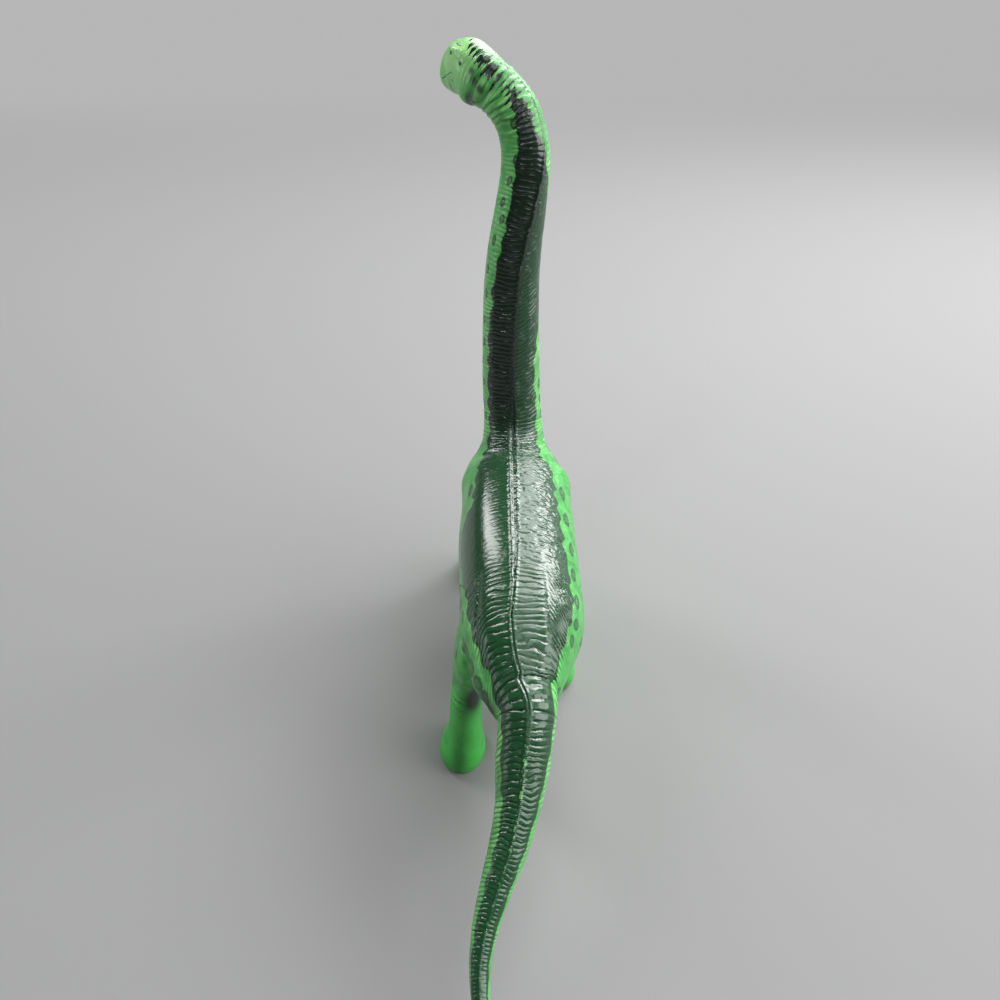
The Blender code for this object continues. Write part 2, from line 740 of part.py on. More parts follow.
def swivel(name, place, shaft_radius, flange_radius):
    """A spool whose flanges sit behind the bulkheads on both sides of a cut."""
    centre, _, _, forward = SPINE.frame(place)
    inner = BULKHEAD + FLANGE_PLAY
    outer = inner + FLANGE_THICKNESS
    profile = [
        (-outer, flange_radius),
        (-inner, flange_radius),
        (-inner, shaft_radius),
        (inner, shaft_radius),
        (inner, flange_radius),
        (outer, flange_radius),
    ]
    spool = turned(name, profile, centre, forward, SMALL_SIDES)
    finish_piece(spool, PALE_PLASTIC, 0.5)
    hang_on_axis(spool, centre, forward)


def swivel_socket(name, place, shaft_radius, flange_radius):
    """The room for a spool at a cut: a bore, and a flange cavity behind and ahead of it."""
    centre, _, _, forward = SPINE.frame(place)
    reach = BULKHEAD + EMBED
    bore = rod(name + "_bore", centre, forward, -reach, reach, shaft_radius + CLEARANCE, SMALL_SIDES)
    depth = BULKHEAD + FLANGE_PLAY + FLANGE_THICKNESS + FLANGE_PLAY
    cavities = []
    for word, direction in (("behind", -forward), ("ahead", forward)):
        cavities.append(rod(
            name + "_cavity_" + word,
            centre,
            direction,
            BULKHEAD,
            depth,
            flange_radius + CLEARANCE,
            SMALL_SIDES,
        ))
    return bore, *cavities


def swept_shells(stem, ends, hollow_ends, cutters, axis_place, colour):
    """Left and right half shells of a length of the skin, hollow between two places."""
    hollow = hollow_solid(stem + "_hollow", *hollow_ends)
    centre, _, _, forward = SPINE.frame(axis_place)
    for word, hand in (("left", -1.0), ("right", 1.0)):
        shell = half_solid("%s_%s_shell" % (stem, word), *ends, hand)
        cut_skin(shell, hollow, *cutters)
        finish_piece(shell, colour, 0.3)
        hang_on_axis(shell, centre, forward)


def head_and_jaw(head_socket):
    """The head with its snap cavity, and the lower jaw below the mouth line."""
    start = SPINE.past(HEAD_CUT, CLEARANCE)
    centre, _, _, forward = SPINE.frame(HEAD_CUT)
    bore, _, cavity = head_socket
    skull = skin_solid("head", start, SNOUT)
    jaw = skin_solid("lower_jaw", start, SNOUT)
    cut_skin(skull, jaw_block("mouth_cut", CLEARANCE), bore, cavity)
    combine(jaw, jaw_block("jaw_block", 0.0), "INTERSECT", "MANIFOLD")
    for piece in (skull, jaw):
        finish_piece(piece, LIME, 0.3)
        hang_on_axis(piece, centre, forward)


def jaw_block(name, growth):
    """A block that holds everything below the mouth line, square to the muzzle."""
    centre, side, back, forward = SPINE.frame(MUZZLE)
    root = SPINE.row(HEAD_CUT)[0]
    setback = JAW_SETBACK - (centre - root).dot(forward) - growth
    far = HEAD_LENGTH
    half = HEAD_HALF_WIDTH + CUT_OVERRUN
    top = growth - MOUTH_DROP
    rings = []
    for along in (setback, far):
        middle = centre + forward * along
        rings.append([
            middle - side * half + back * top,
            middle + side * half + back * top,
            middle + side * half - back * half,
            middle - side * half - back * half,
        ])
    return loft(name, rings)


def tip_peg_bore():
    """The hole in the tail shells that grips the tip's peg."""
    centre, _, _, forward = SPINE.frame(TIP_CUT)
    return rod(
        "peg_bore",
        centre,
        forward,
        -EMBED,
        TIP_PEG_LENGTH + CLEARANCE,
        TIP_PEG_RADIUS + CLEARANCE,
        SMALL_SIDES,
    )


def tail_tip():
    """The soft tip with the peg that the tail shells grip."""
    tip = skin_solid("tail_tip", TAIL_TIP, SPINE.past(TIP_CUT, -CLEARANCE))
    centre, _, _, forward = SPINE.frame(TIP_CUT)
    peg = rod(
        "tip_peg",
        centre,
        forward,
        -EMBED - CLEARANCE,
        TIP_PEG_LENGTH,
        TIP_PEG_RADIUS,
        SMALL_SIDES,
    )
    combine(tip, peg, "UNION", "MANIFOLD")
    finish_piece(tip, DARK_GREEN, 0.35)
    tail_centre, _, _, tail_forward = SPINE.frame(TAIL_CUT)
    hang_on_axis(tip, tail_centre, tail_forward)


def finish_piece(item, colour, roughness, metallic=0.0):
    """Give a piece a material of its own."""
    item.data.materials.append(make_material(item.name, colour, roughness, metallic))


def hang_on_axis(item, point, axis):
    """Move a piece's origin to its joint axis, with the shape left where it is."""
    item.data.transform(Matrix.Translation(-point))
    item.location = point
    item["axis"] = [axis.x, axis.y, axis.z]


def stand_on_origin():
    """Move everything so that the origin lies under the middle of the box, on the floor."""
    bpy.context.view_layer.update()
    graph = bpy.context.evaluated_depsgraph_get()
    low = Vector((float("inf"),) * 3)
    high = Vector((float("-inf"),) * 3)
    for item in bpy.data.objects:
        if item.hide_render:
            continue
        shown = item.evaluated_get(graph)
        for corner in shown.bound_box:
            place = shown.matrix_world @ Vector(corner)
            low = Vector(min(pair) for pair in zip(low, place))
            high = Vector(max(pair) for pair in zip(high, place))
    shift = Vector(((low.x + high.x) / 2.0, (low.y + high.y) / 2.0, low.z))
    for item in bpy.data.objects:
        item.location -= shift


def main():
    """Build every piece."""
    clear_scene()
    neck_socket = swivel_socket("neck_socket", NECK_CUT, NECK_SHAFT_RADIUS, NECK_FLANGE_RADIUS)
    tail_socket = swivel_socket("tail_socket", TAIL_CUT, TAIL_SHAFT_RADIUS, TAIL_FLANGE_RADIUS)
    head_socket = swivel_socket("head_socket", HEAD_CUT, HEAD_SHAFT_RADIUS, HEAD_FLANGE_RADIUS)
    torso_shells(neck_socket, tail_socket)
    screws()
    leg("front", -1.0, (FRONT_LEFT_STRIDE, FRONT_SPLAY))
    leg("front", 1.0, (FRONT_RIGHT_STRIDE, FRONT_SPLAY))
    leg("hind", -1.0, (HIND_LEFT_STRIDE, HIND_LEFT_SPLAY))
    leg("hind", 1.0, (HIND_RIGHT_STRIDE, HIND_RIGHT_SPLAY))
    swept_shells(
        "neck",
        (SPINE.past(NECK_CUT, CLEARANCE), HEAD_CUT),
        (SPINE.past(NECK_CUT, HOLLOW_SETBACK), SPINE.past(HEAD_CUT, -NECK_SOLID_END)),
        [*neck_socket, *head_socket],
        NECK_CUT,
        LIME,
    )
    swivel("neck_swivel", NECK_CUT, NECK_SHAFT_RADIUS, NECK_FLANGE_RADIUS)
    head_and_jaw(head_socket)
    swivel("head_swivel", HEAD_CUT, HEAD_SHAFT_RADIUS, HEAD_FLANGE_RADIUS)
    swept_shells(
        "tail",
        (TIP_CUT, SPINE.past(TAIL_CUT, -CLEARANCE)),
        (SPINE.past(TIP_CUT, TAIL_SOLID_END), SPINE.past(TAIL_CUT, -HOLLOW_SETBACK)),
        [*tail_socket, tip_peg_bore()],
        TAIL_CUT,
        DARK_GREEN,
    )
    swivel("tail_swivel", TAIL_CUT, TAIL_SHAFT_RADIUS, TAIL_FLANGE_RADIUS)
    tail_tip()
    stand_on_origin()


if __name__ == "__main__":
    main()
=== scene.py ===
"""Looks of a toy long-necked dinosaur: moulded skin with ribs and folds, gloss paint and a plain stage.

The animal faces +Y, its right side is +X. Every skin piece is a length of one skin that is swept
along the spine, so that ribs and paint run on from piece to piece. A point of the skin is known by
how far along the spine it lies and by how far it lies across from the middle of the back.
"""
import json
from collections import namedtuple
from math import cos, pi, radians, sin, tan

import bmesh
import bpy
import numpy as np
from bpy.props import FloatProperty, FloatVectorProperty, PointerProperty
from mathutils import Matrix, Vector
from mathutils.kdtree import KDTree


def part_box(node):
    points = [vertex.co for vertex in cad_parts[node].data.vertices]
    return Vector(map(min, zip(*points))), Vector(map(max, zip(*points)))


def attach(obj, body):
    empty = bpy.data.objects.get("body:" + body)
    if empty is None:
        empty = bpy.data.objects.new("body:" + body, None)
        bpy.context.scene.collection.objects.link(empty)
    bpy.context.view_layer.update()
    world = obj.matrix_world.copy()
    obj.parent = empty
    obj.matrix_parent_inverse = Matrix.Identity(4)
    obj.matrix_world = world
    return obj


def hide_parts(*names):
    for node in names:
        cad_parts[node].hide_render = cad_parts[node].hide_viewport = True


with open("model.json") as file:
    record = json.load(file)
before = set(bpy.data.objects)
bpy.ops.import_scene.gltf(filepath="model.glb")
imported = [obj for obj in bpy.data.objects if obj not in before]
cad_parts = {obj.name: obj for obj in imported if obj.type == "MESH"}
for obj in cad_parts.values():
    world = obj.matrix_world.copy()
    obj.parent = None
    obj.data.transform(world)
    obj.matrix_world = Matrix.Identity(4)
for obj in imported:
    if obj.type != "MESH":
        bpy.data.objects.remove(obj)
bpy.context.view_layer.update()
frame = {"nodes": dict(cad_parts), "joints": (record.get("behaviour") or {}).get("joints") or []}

bl_info = {
    "name": "Toy dinosaur looks",
    "version": (1, 0, 0),
    "blender": (4, 5, 0),
    "location": "View3D > Sidebar > Dinosaur",
    "description": "Moulded skin, paint and stage for a toy long-necked dinosaur",
    "category": "Object",
}

# Driving dimensions of the animal, in metres
HIP_TO_SHOULDER = 0.078
BACK_HEIGHT = 0.096
TRUNK_HALF_WIDTH = 0.025
TRUNK_HALF_DEPTH = 0.030
NECK_RISE = 0.140
NECK_HALF_WIDTH = 0.0136
TAIL_LENGTH = 0.116
TAIL_HALF_WIDTH = 0.0106
HEAD_LENGTH = 0.030
HEAD_HALF_WIDTH = 0.0092
HIP_AXIS_HEIGHT = 0.054
HIP_DISC_RADIUS = 0.021
SHOULDER_DISC_RADIUS = 0.020
DISC_FACE_X = 0.013
ARCH_FLARE = 0.008
HIND_LEG_WIDTH = 0.0126
FRONT_LEG_WIDTH = 0.0112
HIND_LEG_DEPTH = 0.0170
FRONT_LEG_DEPTH = 0.0150
# How far each foot stands ahead of its axis, and how far it splays, in metres
STRIDES = {
    "hind_left_leg": (-0.018, 0.0014),
    "hind_right_leg": (0.025, -0.0008),
    "front_left_leg": (0.019, 0.0004),
    "front_right_leg": (-0.017, 0.0004),
}
# Sides of the animal, as signs of x
HANDS = {"left": -1.0, "right": 1.0}

# Moulding sizes
WALL = 0.0020
CLEARANCE = 0.0003
SEAM_GAP = 0.00003
BULKHEAD = 0.0030
STUD_RADIUS = 0.0030
STUD_REACH = 0.0070
NECK_SHAFT_RADIUS = 0.0045
NECK_FLANGE_RADIUS = 0.0070
TAIL_SHAFT_RADIUS = 0.0035
TAIL_FLANGE_RADIUS = 0.0058
HEAD_SHAFT_RADIUS = 0.0026
HEAD_FLANGE_RADIUS = 0.0044
FLANGE_THICKNESS = 0.0020
FLANGE_PLAY = 0.00045
TIP_PEG_RADIUS = 0.0017
TIP_PEG_LENGTH = 0.0065
TAIL_SOLID_END = 0.0140
NECK_SOLID_END = 0.0300
HOLLOW_SETBACK = 0.0055
HOLLOW_INSET = 0.0028
MOUTH_DROP = 0.0052
JAW_SETBACK = 0.0095
CUT_OVERRUN = 0.0200
FLANK_REACH = TRUNK_HALF_WIDTH + CUT_OVERRUN
EMBED = 0.0015
SCREW_HEAD_SHARE = 0.12
SCREW_SHANK_SHARE = 0.6
SKIN_ROUNDNESS = 2.25
SNOUT_BULGE = 0.0014
# Edges sharper than these stay sharp: on the shells, and on legs and head
SHELL_EDGE = radians(50.0)
LIMB_EDGE = radians(60.0)

# Mesh fineness
SPINE_TABLE_SIZE = 3601
ALONG_STEP = 0.00030
TAIL_ALONG_STEP = 0.00024
TRUNK_SIDES = 400
NECK_SIDES = 200
TAIL_SIDES = 160
ROUND_SIDES = 72
HOLLOW_SIDES = 32
HOLLOW_STEP = 0.004
FLANK_RINGS = 121
FLANK_SIDES = 160
LEG_RINGS = 73
LEG_SIDES = 56
LEG_VOXEL = 0.00042
LEG_SMOOTHINGS = 18
DOME_RINGS = 7
END_RINGS = 14
END_RING_STEP = 0.00002

# Trunk rows: along, height, side, half width left, half width right, depth up, depth down
TRUNK_ROW_SHARES = [
    (-0.56, 0.620, 0.16, 0.43, 0.42, 0.40, 0.39),
    (-0.44, 0.630, 0.12, 0.55, 0.56, 0.49, 0.46),
    (-0.28, 0.630, 0.05, 0.70, 0.84, 0.68, 0.58),
    (-0.13, 0.625, 0.01, 0.81, 1.03, 0.83, 0.68),
    (0.08, 0.620, 0.00, 0.88, 1.13, 0.95, 0.76),
    (0.32, 0.625, 0.00, 0.94, 1.14, 1.03, 0.84),
    (0.58, 0.635, 0.00, 0.98, 1.12, 1.07, 0.87),
    (0.83, 0.656, 0.00, 0.95, 1.10, 1.06, 0.87),
    (1.03, 0.693, 0.00, 0.93, 1.07, 0.96, 0.90),
    (1.18, 0.760, 0.00, 0.85, 0.91, 0.73, 0.83),
    (1.28, 0.865, 0.00, 0.58, 0.64, 0.55, 0.68),
    (1.34, 0.990, 0.00, 0.54, 0.56, 0.47, 0.53),
]
# Neck, head and tail rows: along, height, side, half width, depth up, depth down, then how far the
# back turns to the animal's right in degrees
NECK_ROW_SHARES = [
    (0.018, 0.093, -0.003, 0.99, 1.00, 1.06, 0),
    (0.032, 0.207, -0.006, 0.96, 0.97, 1.00, 2),
    (0.043, 0.336, -0.007, 0.92, 0.93, 0.95, 6),
    (0.054, 0.464, -0.005, 0.87, 0.88, 0.90, 13),
    (0.062, 0.579, 0.005, 0.81, 0.82, 0.83, 24),
    (0.071, 0.679, 0.019, 0.75, 0.76, 0.76, 36),
    (0.084, 0.779, 0.031, 0.70, 0.71, 0.71, 46),
    (0.096, 0.860, 0.027, 0.68, 0.68, 0.68, 58),
    (0.109, 0.928, 0.003, 0.67, 0.67, 0.67, 66),
    (0.124, 0.976, -0.036, 0.67, 0.67, 0.68, 66),
    (0.139, 1.002, -0.073, 0.66, 0.67, 0.69, 60),
]
HEAD_ROW_SHARES = [
    (0.16, 0.10, -0.17, 0.96, 1.06, 1.12, 50),
    (0.33, 0.14, -0.30, 0.94, 1.06, 1.20, 44),
    (0.50, 0.10, -0.40, 0.85, 0.98, 1.12, 42),
    (0.66, 0.04, -0.49, 0.68, 0.76, 0.88, 42),
    (0.77, 0.00, -0.54, 0.38, 0.40, 0.48, 42),
]
TAIL_ROW_SHARES = [
    (-1.000, -0.370, -0.026, 0.09, 0.10, 0.10, 0),
    (-0.897, -0.352, -0.078, 0.16, 0.17, 0.17, 0),
    (-0.776, -0.322, -0.122, 0.23, 0.25, 0.24, 0),
    (-0.638, -0.283, -0.140, 0.31, 0.34, 0.32, 0),
    (-0.534, -0.245, -0.129, 0.40, 0.44, 0.42, 0),
    (-0.431, -0.207, -0.098, 0.51, 0.56, 0.54, 0),
    (-0.328, -0.164, -0.060, 0.64, 0.69, 0.67, 0),
    (-0.224, -0.119, -0.032, 0.75, 0.83, 0.80, 0),
    (-0.121, -0.069, -0.016, 0.91, 0.99, 0.95, 0),
]
# Leg rows: height, stride progress, inner edge, outer edge, half length
HIND_LEG_ROW_SHARES = [
    (1.12, 0.00, 0.06, 0.72, 0.70),
    (0.90, 0.18, 0.05, 0.90, 0.76),
    (0.75, 0.36, 0.04, 0.98, 0.61),
    (0.59, 0.60, 0.04, 1.00, 0.51),
    (0.41, 0.84, 0.03, 1.02, 0.46),
    (0.25, 0.96, -0.02, 1.10, 0.49),
    (0.12, 1.00, -0.12, 1.31, 0.63),
    (0.05, 1.00, -0.14, 1.38, 0.69),
    (0.00, 1.00, -0.11, 1.34, 0.66),
]
FRONT_LEG_ROW_SHARES = [
    (1.08, 0.00, 0.06, 0.80, 0.72),
    (0.88, 0.22, 0.05, 0.94, 0.74),
    (0.73, 0.38, 0.04, 1.00, 0.62),
    (0.56, 0.58, 0.04, 1.02, 0.52),
    (0.36, 0.82, 0.03, 1.00, 0.46),
    (0.21, 0.93, -0.02, 1.06, 0.49),
    (0.10, 1.00, -0.14, 1.20, 0.61),
    (0.04, 1.00, -0.18, 1.26, 0.65),
    (0.00, 1.00, -0.14, 1.21, 0.62),
]

# Dark back: spine place, then where it ends on the left and on the right, as shares of half the
# girth from the middle of the back; a negative right end lies left of the middle.
SADDLE_EDGE_SHARES = [
    (0.0, 0.40, 0.40),
    (2.0, 0.34, 0.34),
    (4.0, 0.28, 0.28),
    (6.0, 0.25, 0.26),
    (7.2, 0.27, 0.29),
    (8.0, 0.31, 0.33),
    (9.2, 0.36, 0.33),
    (9.7, 0.27, 0.34),
    (10.4, 0.23, 0.35),
    (11.0, 0.25, 0.35),
    (12.4, 0.29, 0.33),
    (13.2, 0.34, 0.29),
    (14.2, 0.39, 0.26),
    (14.8, 0.37, 0.24),
    (15.2, 0.24, 0.23),
    (16.2, 0.22, 0.23),
    (17.8, 0.18, 0.16),
    (19.2, 0.25, 0.24),
    (20.6, 0.30, 0.29),
    (22.0, 0.31, 0.27),
    (23.2, 0.30, 0.42),
    (24.4, 0.27, 0.56),
    (25.4, 0.28, 0.50),
    (26.4, 0.32, 0.28),
    (27.2, 0.40, 0.08),
    (27.9, 0.43, -0.08),
    (28.5, 0.41, -0.15),
    (29.4, 0.38, -0.17),
    (30.4, 0.35, -0.15),
    (31.2, 0.33, -0.11),
    (31.9, 0.27, -0.08),
    (32.3, 0.16, -0.06),
    (32.6, 0.04, -0.05),
    (32.8, -0.04, -0.06),
    (36.0, -0.04, -0.06),
]
# Ribs: place, pitch and height in metres, then how far they sweep back towards the tail, close to
# the middle and further out, on the left and on the right.
RIB_ROWS = [
    (0.0, 0.0009, 0.00010, 0.00, 0.00, -0.60, -0.60),
    (4.0, 0.0013, 0.00026, 0.05, 0.05, -0.50, -0.50),
    (6.0, 0.0017, 0.00034, 0.15, 0.10, -0.50, -0.45),
    (8.0, 0.0023, 0.00044, 0.30, 0.35, -0.35, -0.30),
    (9.2, 0.0023, 0.00052, 0.15, 0.80, -0.10, 0.10),
    (10.2, 0.0024, 0.00046, 0.00, 1.20, 0.05, 0.60),
    (11.2, 0.0025, 0.00036, -0.05, 1.00, -0.05, 1.20),
    (12.2, 0.0025, 0.00036, 0.00, 0.40, -0.05, 1.50),
    (12.8, 0.0024, 0.00026, 0.00, 0.20, -0.05, 1.45),
    (13.4, 0.0023, 0.00006, 0.00, 0.20, 0.00, 1.35),
    (17.0, 0.0021, 0.00007, 0.05, 0.30, 0.05, 0.90),
    (18.6, 0.0021, 0.00022, 0.05, 0.10, -0.05, -0.05),
    (20.0, 0.0021, 0.00036, 0.05, 0.00, -0.20, -0.30),
    (21.5, 0.0020, 0.00036, 0.00, 0.00, -0.45, -0.50),
    (25.0, 0.0019, 0.00024, 0.00, 0.00, -0.75, -0.75),
    (28.0, 0.0019, 0.00024, -0.10, -0.10, -0.30, -0.30),
    (30.0, 0.0018, 0.00028, 0.00, -0.10, 0.00, 0.00),
    (31.9, 0.0018, 0.00020, 0.00, 0.00, 0.00, 0.00),
    (32.8, 0.0020, 0.00003, 0.00, 0.00, 0.00, 0.00),
    (36.0, 0.0020, 0.00002, 0.00, 0.00, 0.00, 0.00),
]
SWEEP_START = 0.0030
SWEEP_KNEES = (0.0105, 0.0138)
# The crest along the back: place, crest height and width, then for its two lips the distance from
# the middle, the height, and the half widths of the left and the right lip.
KEEL_ROWS = [
    (0.0, 0.00020, 0.0010, 0.0000, 0.00000, 0.0004, 0.0004),
    (4.0, 0.00075, 0.0018, 0.0001, 0.00010, 0.0005, 0.0005),
    (8.0, 0.00100, 0.0026, 0.0004, 0.00025, 0.0005, 0.0005),
    (9.5, 0.00080, 0.0030, 0.0008, 0.00042, 0.0005, 0.0005),
    (12.5, 0.00045, 0.0030, 0.0008, 0.00045, 0.0005, 0.0005),
    (14.0, 0.00040, 0.0030, 0.0013, 0.00060, 0.0006, 0.0006),
    (17.0, 0.00040, 0.0030, 0.0016, 0.00072, 0.0009, 0.0006),
    (19.0, 0.00050, 0.0030, 0.0017, 0.00075, 0.0013, 0.0006),
    (20.3, 0.00070, 0.0030, 0.0013, 0.00045, 0.0010, 0.0006),
    (21.6, 0.00090, 0.0032, 0.0005, 0.00020, 0.0006, 0.0005),
    (27.0, 0.00090, 0.0030, 0.0004, 0.00022, 0.0005, 0.0005),
    (31.0, 0.00050, 0.0028, 0.0004, 0.00010, 0.0005, 0.0005),
    (32.0, 0.00000, 0.0028, 0.0003, 0.00000, 0.0005, 0.0005),
]


def joint_point(name):
    """A joint's place in the frame."""
    for joint in frame["joints"]:
        if joint["name"] == name:
            return Vector(joint["pos_m"])
    raise RuntimeError("there is no joint " + name)


HIP = joint_point("hind_left_hip")
SHOULDER = joint_point("front_left_shoulder")
BASE = HIP - Vector((0.0, 0.0, HIP_AXIS_HEIGHT))


def spine_rows():
    """All spine rows in metres, from tail tip to snout, in the frame."""
    trunk = []
    for along, height, side, left, right, up, down in TRUNK_ROW_SHARES:
        centre = BASE + Vector((
            side * TRUNK_HALF_WIDTH,
            along * HIP_TO_SHOULDER,
            height * BACK_HEIGHT,
        ))
        trunk.append((
            *centre,
            left * TRUNK_HALF_WIDTH,
            right * TRUNK_HALF_WIDTH,
            up * TRUNK_HALF_DEPTH,
            down * TRUNK_HALF_DEPTH,
            0.0,
        ))
    tail = offset_rows(TAIL_ROW_SHARES, trunk[0], TAIL_LENGTH, TAIL_HALF_WIDTH)
    neck = offset_rows(NECK_ROW_SHARES, trunk[-1], NECK_RISE, NECK_HALF_WIDTH)
    head = offset_rows(HEAD_ROW_SHARES, neck[-1], HEAD_LENGTH, HEAD_HALF_WIDTH)
    return np.array(tail + trunk + neck + head)


def offset_rows(shares, start, length, half_width):
    """Rows placed from the centre of a starting row."""
    rows = []
    for along, height, side, half, up, down, turn in shares:
        centre = Vector(start[:3]) + Vector((side, along, height)) * length
        rows.append((*centre, *(value * half_width for value in (half, half, up, down)), turn))
    return rows


ROWS = spine_rows()
TIP_CUT = 4.0
TAIL_CUT = float(len(TAIL_ROW_SHARES))
NECK_CUT = TAIL_CUT + len(TRUNK_ROW_SHARES) - 1
HEAD_CUT = NECK_CUT + len(NECK_ROW_SHARES)
SNOUT = len(ROWS) - 1.0
MUZZLE = HEAD_CUT + 3.5
# Swivels: the cut, the radius of the shaft and the radius of the flanges
NECK_SWIVEL = (NECK_CUT, NECK_SHAFT_RADIUS, NECK_FLANGE_RADIUS)
TAIL_SWIVEL = (TAIL_CUT, TAIL_SHAFT_RADIUS, TAIL_FLANGE_RADIUS)
HEAD_SWIVEL = (HEAD_CUT, HEAD_SHAFT_RADIUS, HEAD_FLANGE_RADIUS)


def smooth_rows(rows, places):
    """Smooth rows between the rows of a table, at places counted in rows."""
    first = np.minimum(places.astype(int), len(rows) - 2)
    share = (places - first)[:, None]
    a, b, c, d = (rows[np.clip(first + k, 0, len(rows) - 1)] for k in (-1, 0, 1, 2))
    linear = (c - a) * share
    square = (2.0 * a - 5.0 * b + 4.0 * c - d) * share ** 2
    cube = (3.0 * b - a - 3.0 * c + d) * share ** 3
    return 0.5 * (2.0 * b + linear + square + cube)


def rows_at(places):
    """Smooth spine rows at places counted in rows."""
    return smooth_rows(ROWS, np.clip(np.asarray(places, float), 0.0, SNOUT))


def unit(vectors):
    """Vectors scaled to length one along the last axis."""
    return vectors / np.maximum(np.linalg.norm(vectors, axis=-1, keepdims=True), 1e-12)


def frames_at(places):
    """Rows with their side, back and forward directions."""
    near = 0.02
    row = rows_at(places)
    forward = unit(rows_at(places + near)[:, :3] - rows_at(places - near)[:, :3])
    turn = np.radians(row[:, 7])
    back = np.stack([np.sin(turn), -np.cos(turn), np.ones_like(turn)], axis=1)
    back = unit(back - forward * np.sum(back * forward, axis=1, keepdims=True))
    return row, np.cross(forward, back), back, forward


def frame_at(place):
    """Centre, side, back and forward at one place, as vectors."""
    row, side, back, forward = frames_at(np.array([place]))
    return Vector(row[0, :3]), Vector(side[0]), Vector(back[0]), Vector(forward[0])


TABLE_PLACES = np.linspace(0.0, SNOUT, SPINE_TABLE_SIZE)
TABLE_ROWS, TABLE_SIDE, TABLE_BACK, TABLE_FORWARD = frames_at(TABLE_PLACES)
TABLE_STEPS = np.linalg.norm(np.diff(TABLE_ROWS[:, :3], axis=0), axis=1)
TABLE_LENGTHS = np.concatenate([[0.0], np.cumsum(TABLE_STEPS)])


def length_at(places):
    """Distance along the spine from the tail tip."""
    return np.interp(places, TABLE_PLACES, TABLE_LENGTHS)


def place_at(lengths):
    """Place at a distance along the spine."""
    return np.interp(lengths, TABLE_LENGTHS, TABLE_PLACES)


def past(place, distance):
    """The place a distance in metres further on, or back where negative."""
    return float(place_at(length_at(place) + distance))


def smooth_step(low, high, values):
    """A smooth rise from 0 at low to 1 at high."""
    share = np.clip((values - low) / (high - low), 0.0, 1.0)
    return share * share * (3.0 - 2.0 * share)


def between(places, rise_start, rise_end, fall_start, fall_end):
    """1 on a stretch, with a smooth rise before it and a smooth fall after it."""
    return smooth_step(rise_start, rise_end, places) * (1.0 - smooth_step(fall_start, fall_end, places))


def table_value(rows, column, places):
    """A column of a table read at places."""
    table = np.array(rows)
    return np.interp(places, table[:, 0], table[:, column])


def sided_value(rows, left, right, places, across):
    """A column of a table for the left of the back and another for the right of it."""
    return np.where(across > 0.0, table_value(rows, right, places), table_value(rows, left, places))


def both_sides(rows):
    """Rows of place and share across, each once for the left and once for the right."""
    return [(place, hand * share, *rest) for place, share, *rest in rows for hand in HANDS.values()]


def mounds(rows, along, across, girth):
    """Sum of soft round bumps: place, share across, half length, half girth and height."""
    total = np.zeros_like(along)
    for place, share, half_length, half_girth, height in rows:
        spread = ((along - length_at(place)) / half_length) ** 2
        spread = spread + ((across - share * girth) / half_girth) ** 2
        total += height * np.exp(-spread)
    return total


# Smooth noises: cell size along and across in metres (on a leg: round it and up it), seed and
# number of octaves
NOISES = {
    "keel_beads": (0.0008, 0.0012, 11, 1),
    "keel_swell": (0.005, 1.0, 12, 1),
    "keel_teeth": (0.004, 0.006, 13, 1),
    "rib_bend": (0.0075, 0.0110, 21, 2),
    "rib_wiggle": (0.0030, 0.0040, 22, 1),
    "rib_strength": (0.0060, 0.0042, 23, 1),
    "rib_breaks": (0.0022, 0.0024, 24, 1),
    "pebbles": (0.0007, 0.0009, 31, 1),
    "dents": (0.0021, 0.0026, 32, 2),
    "bosses": (0.0011, 0.0019, 33, 2),
    "neck_bend": (0.009, 0.006, 41, 1),
    "saddle_wander": (0.006, 1.0, 51, 2),
    "leg_bend": (0.006, 0.005, 61, 2),
    "leg_strength": (0.004, 0.005, 62, 2),
    "leg_pebbles": (0.0011, 0.0011, 63, 2),
    "leg_streak": (0.004, 0.009, 71, 2),
}
LATTICE = 64
LATTICE_START = 1000.0


def noise(name, along, across, shift=0.0):
    """A named noise from -1 to 1, moved on by a shift in cells."""
    cell_along, cell_across, seed, octaves = NOISES[name]
    return waves(along / cell_along + shift, across / cell_across, seed, octaves)


def waves(u, v, seed, octaves):
    """Smooth noise from -1 to 1 over two coordinates, one cell per unit."""
    source = np.random.default_rng(seed)
    total = np.zeros_like(u)
    weight = 1.0
    reach = 0.0
    for octave in range(octaves):
        lattice = source.uniform(-1.0, 1.0, (LATTICE, LATTICE))
        x = u * 2 ** octave + LATTICE_START
        y = v * 2 ** octave + LATTICE_START
        i = np.floor(x).astype(int)
        j = np.floor(y).astype(int)
        p = x - i
        q = y - j
        p = p * p * (3.0 - 2.0 * p)
        q = q * q * (3.0 - 2.0 * q)
        i0, i1 = i % LATTICE, (i + 1) % LATTICE
        j0, j1 = j % LATTICE, (j + 1) % LATTICE
        near = lattice[i0, j0] * (1.0 - p) + lattice[i1, j0] * p
        far = lattice[i0, j1] * (1.0 - p) + lattice[i1, j1] * p
        total += weight * (near * (1.0 - q) + far * q)
        reach += weight
        weight *= 0.5
    return total / reach


def rib_phases():
    """Count of ribs up to each place of the spine, with a valley exactly at each cut."""
    middles = 0.5 * (TABLE_PLACES[1:] + TABLE_PLACES[:-1])
    counts = np.concatenate([[0.0], np.cumsum(TABLE_STEPS / table_value(RIB_ROWS, 1, middles))])
    cuts = np.array([0.0, TIP_CUT, TAIL_CUT, NECK_CUT, HEAD_CUT])
    at_cuts = np.interp(cuts, TABLE_PLACES, counts)
    return counts + np.interp(TABLE_PLACES, cuts, np.round(at_cuts) - at_cuts)


RIB_PHASES = rib_phases()


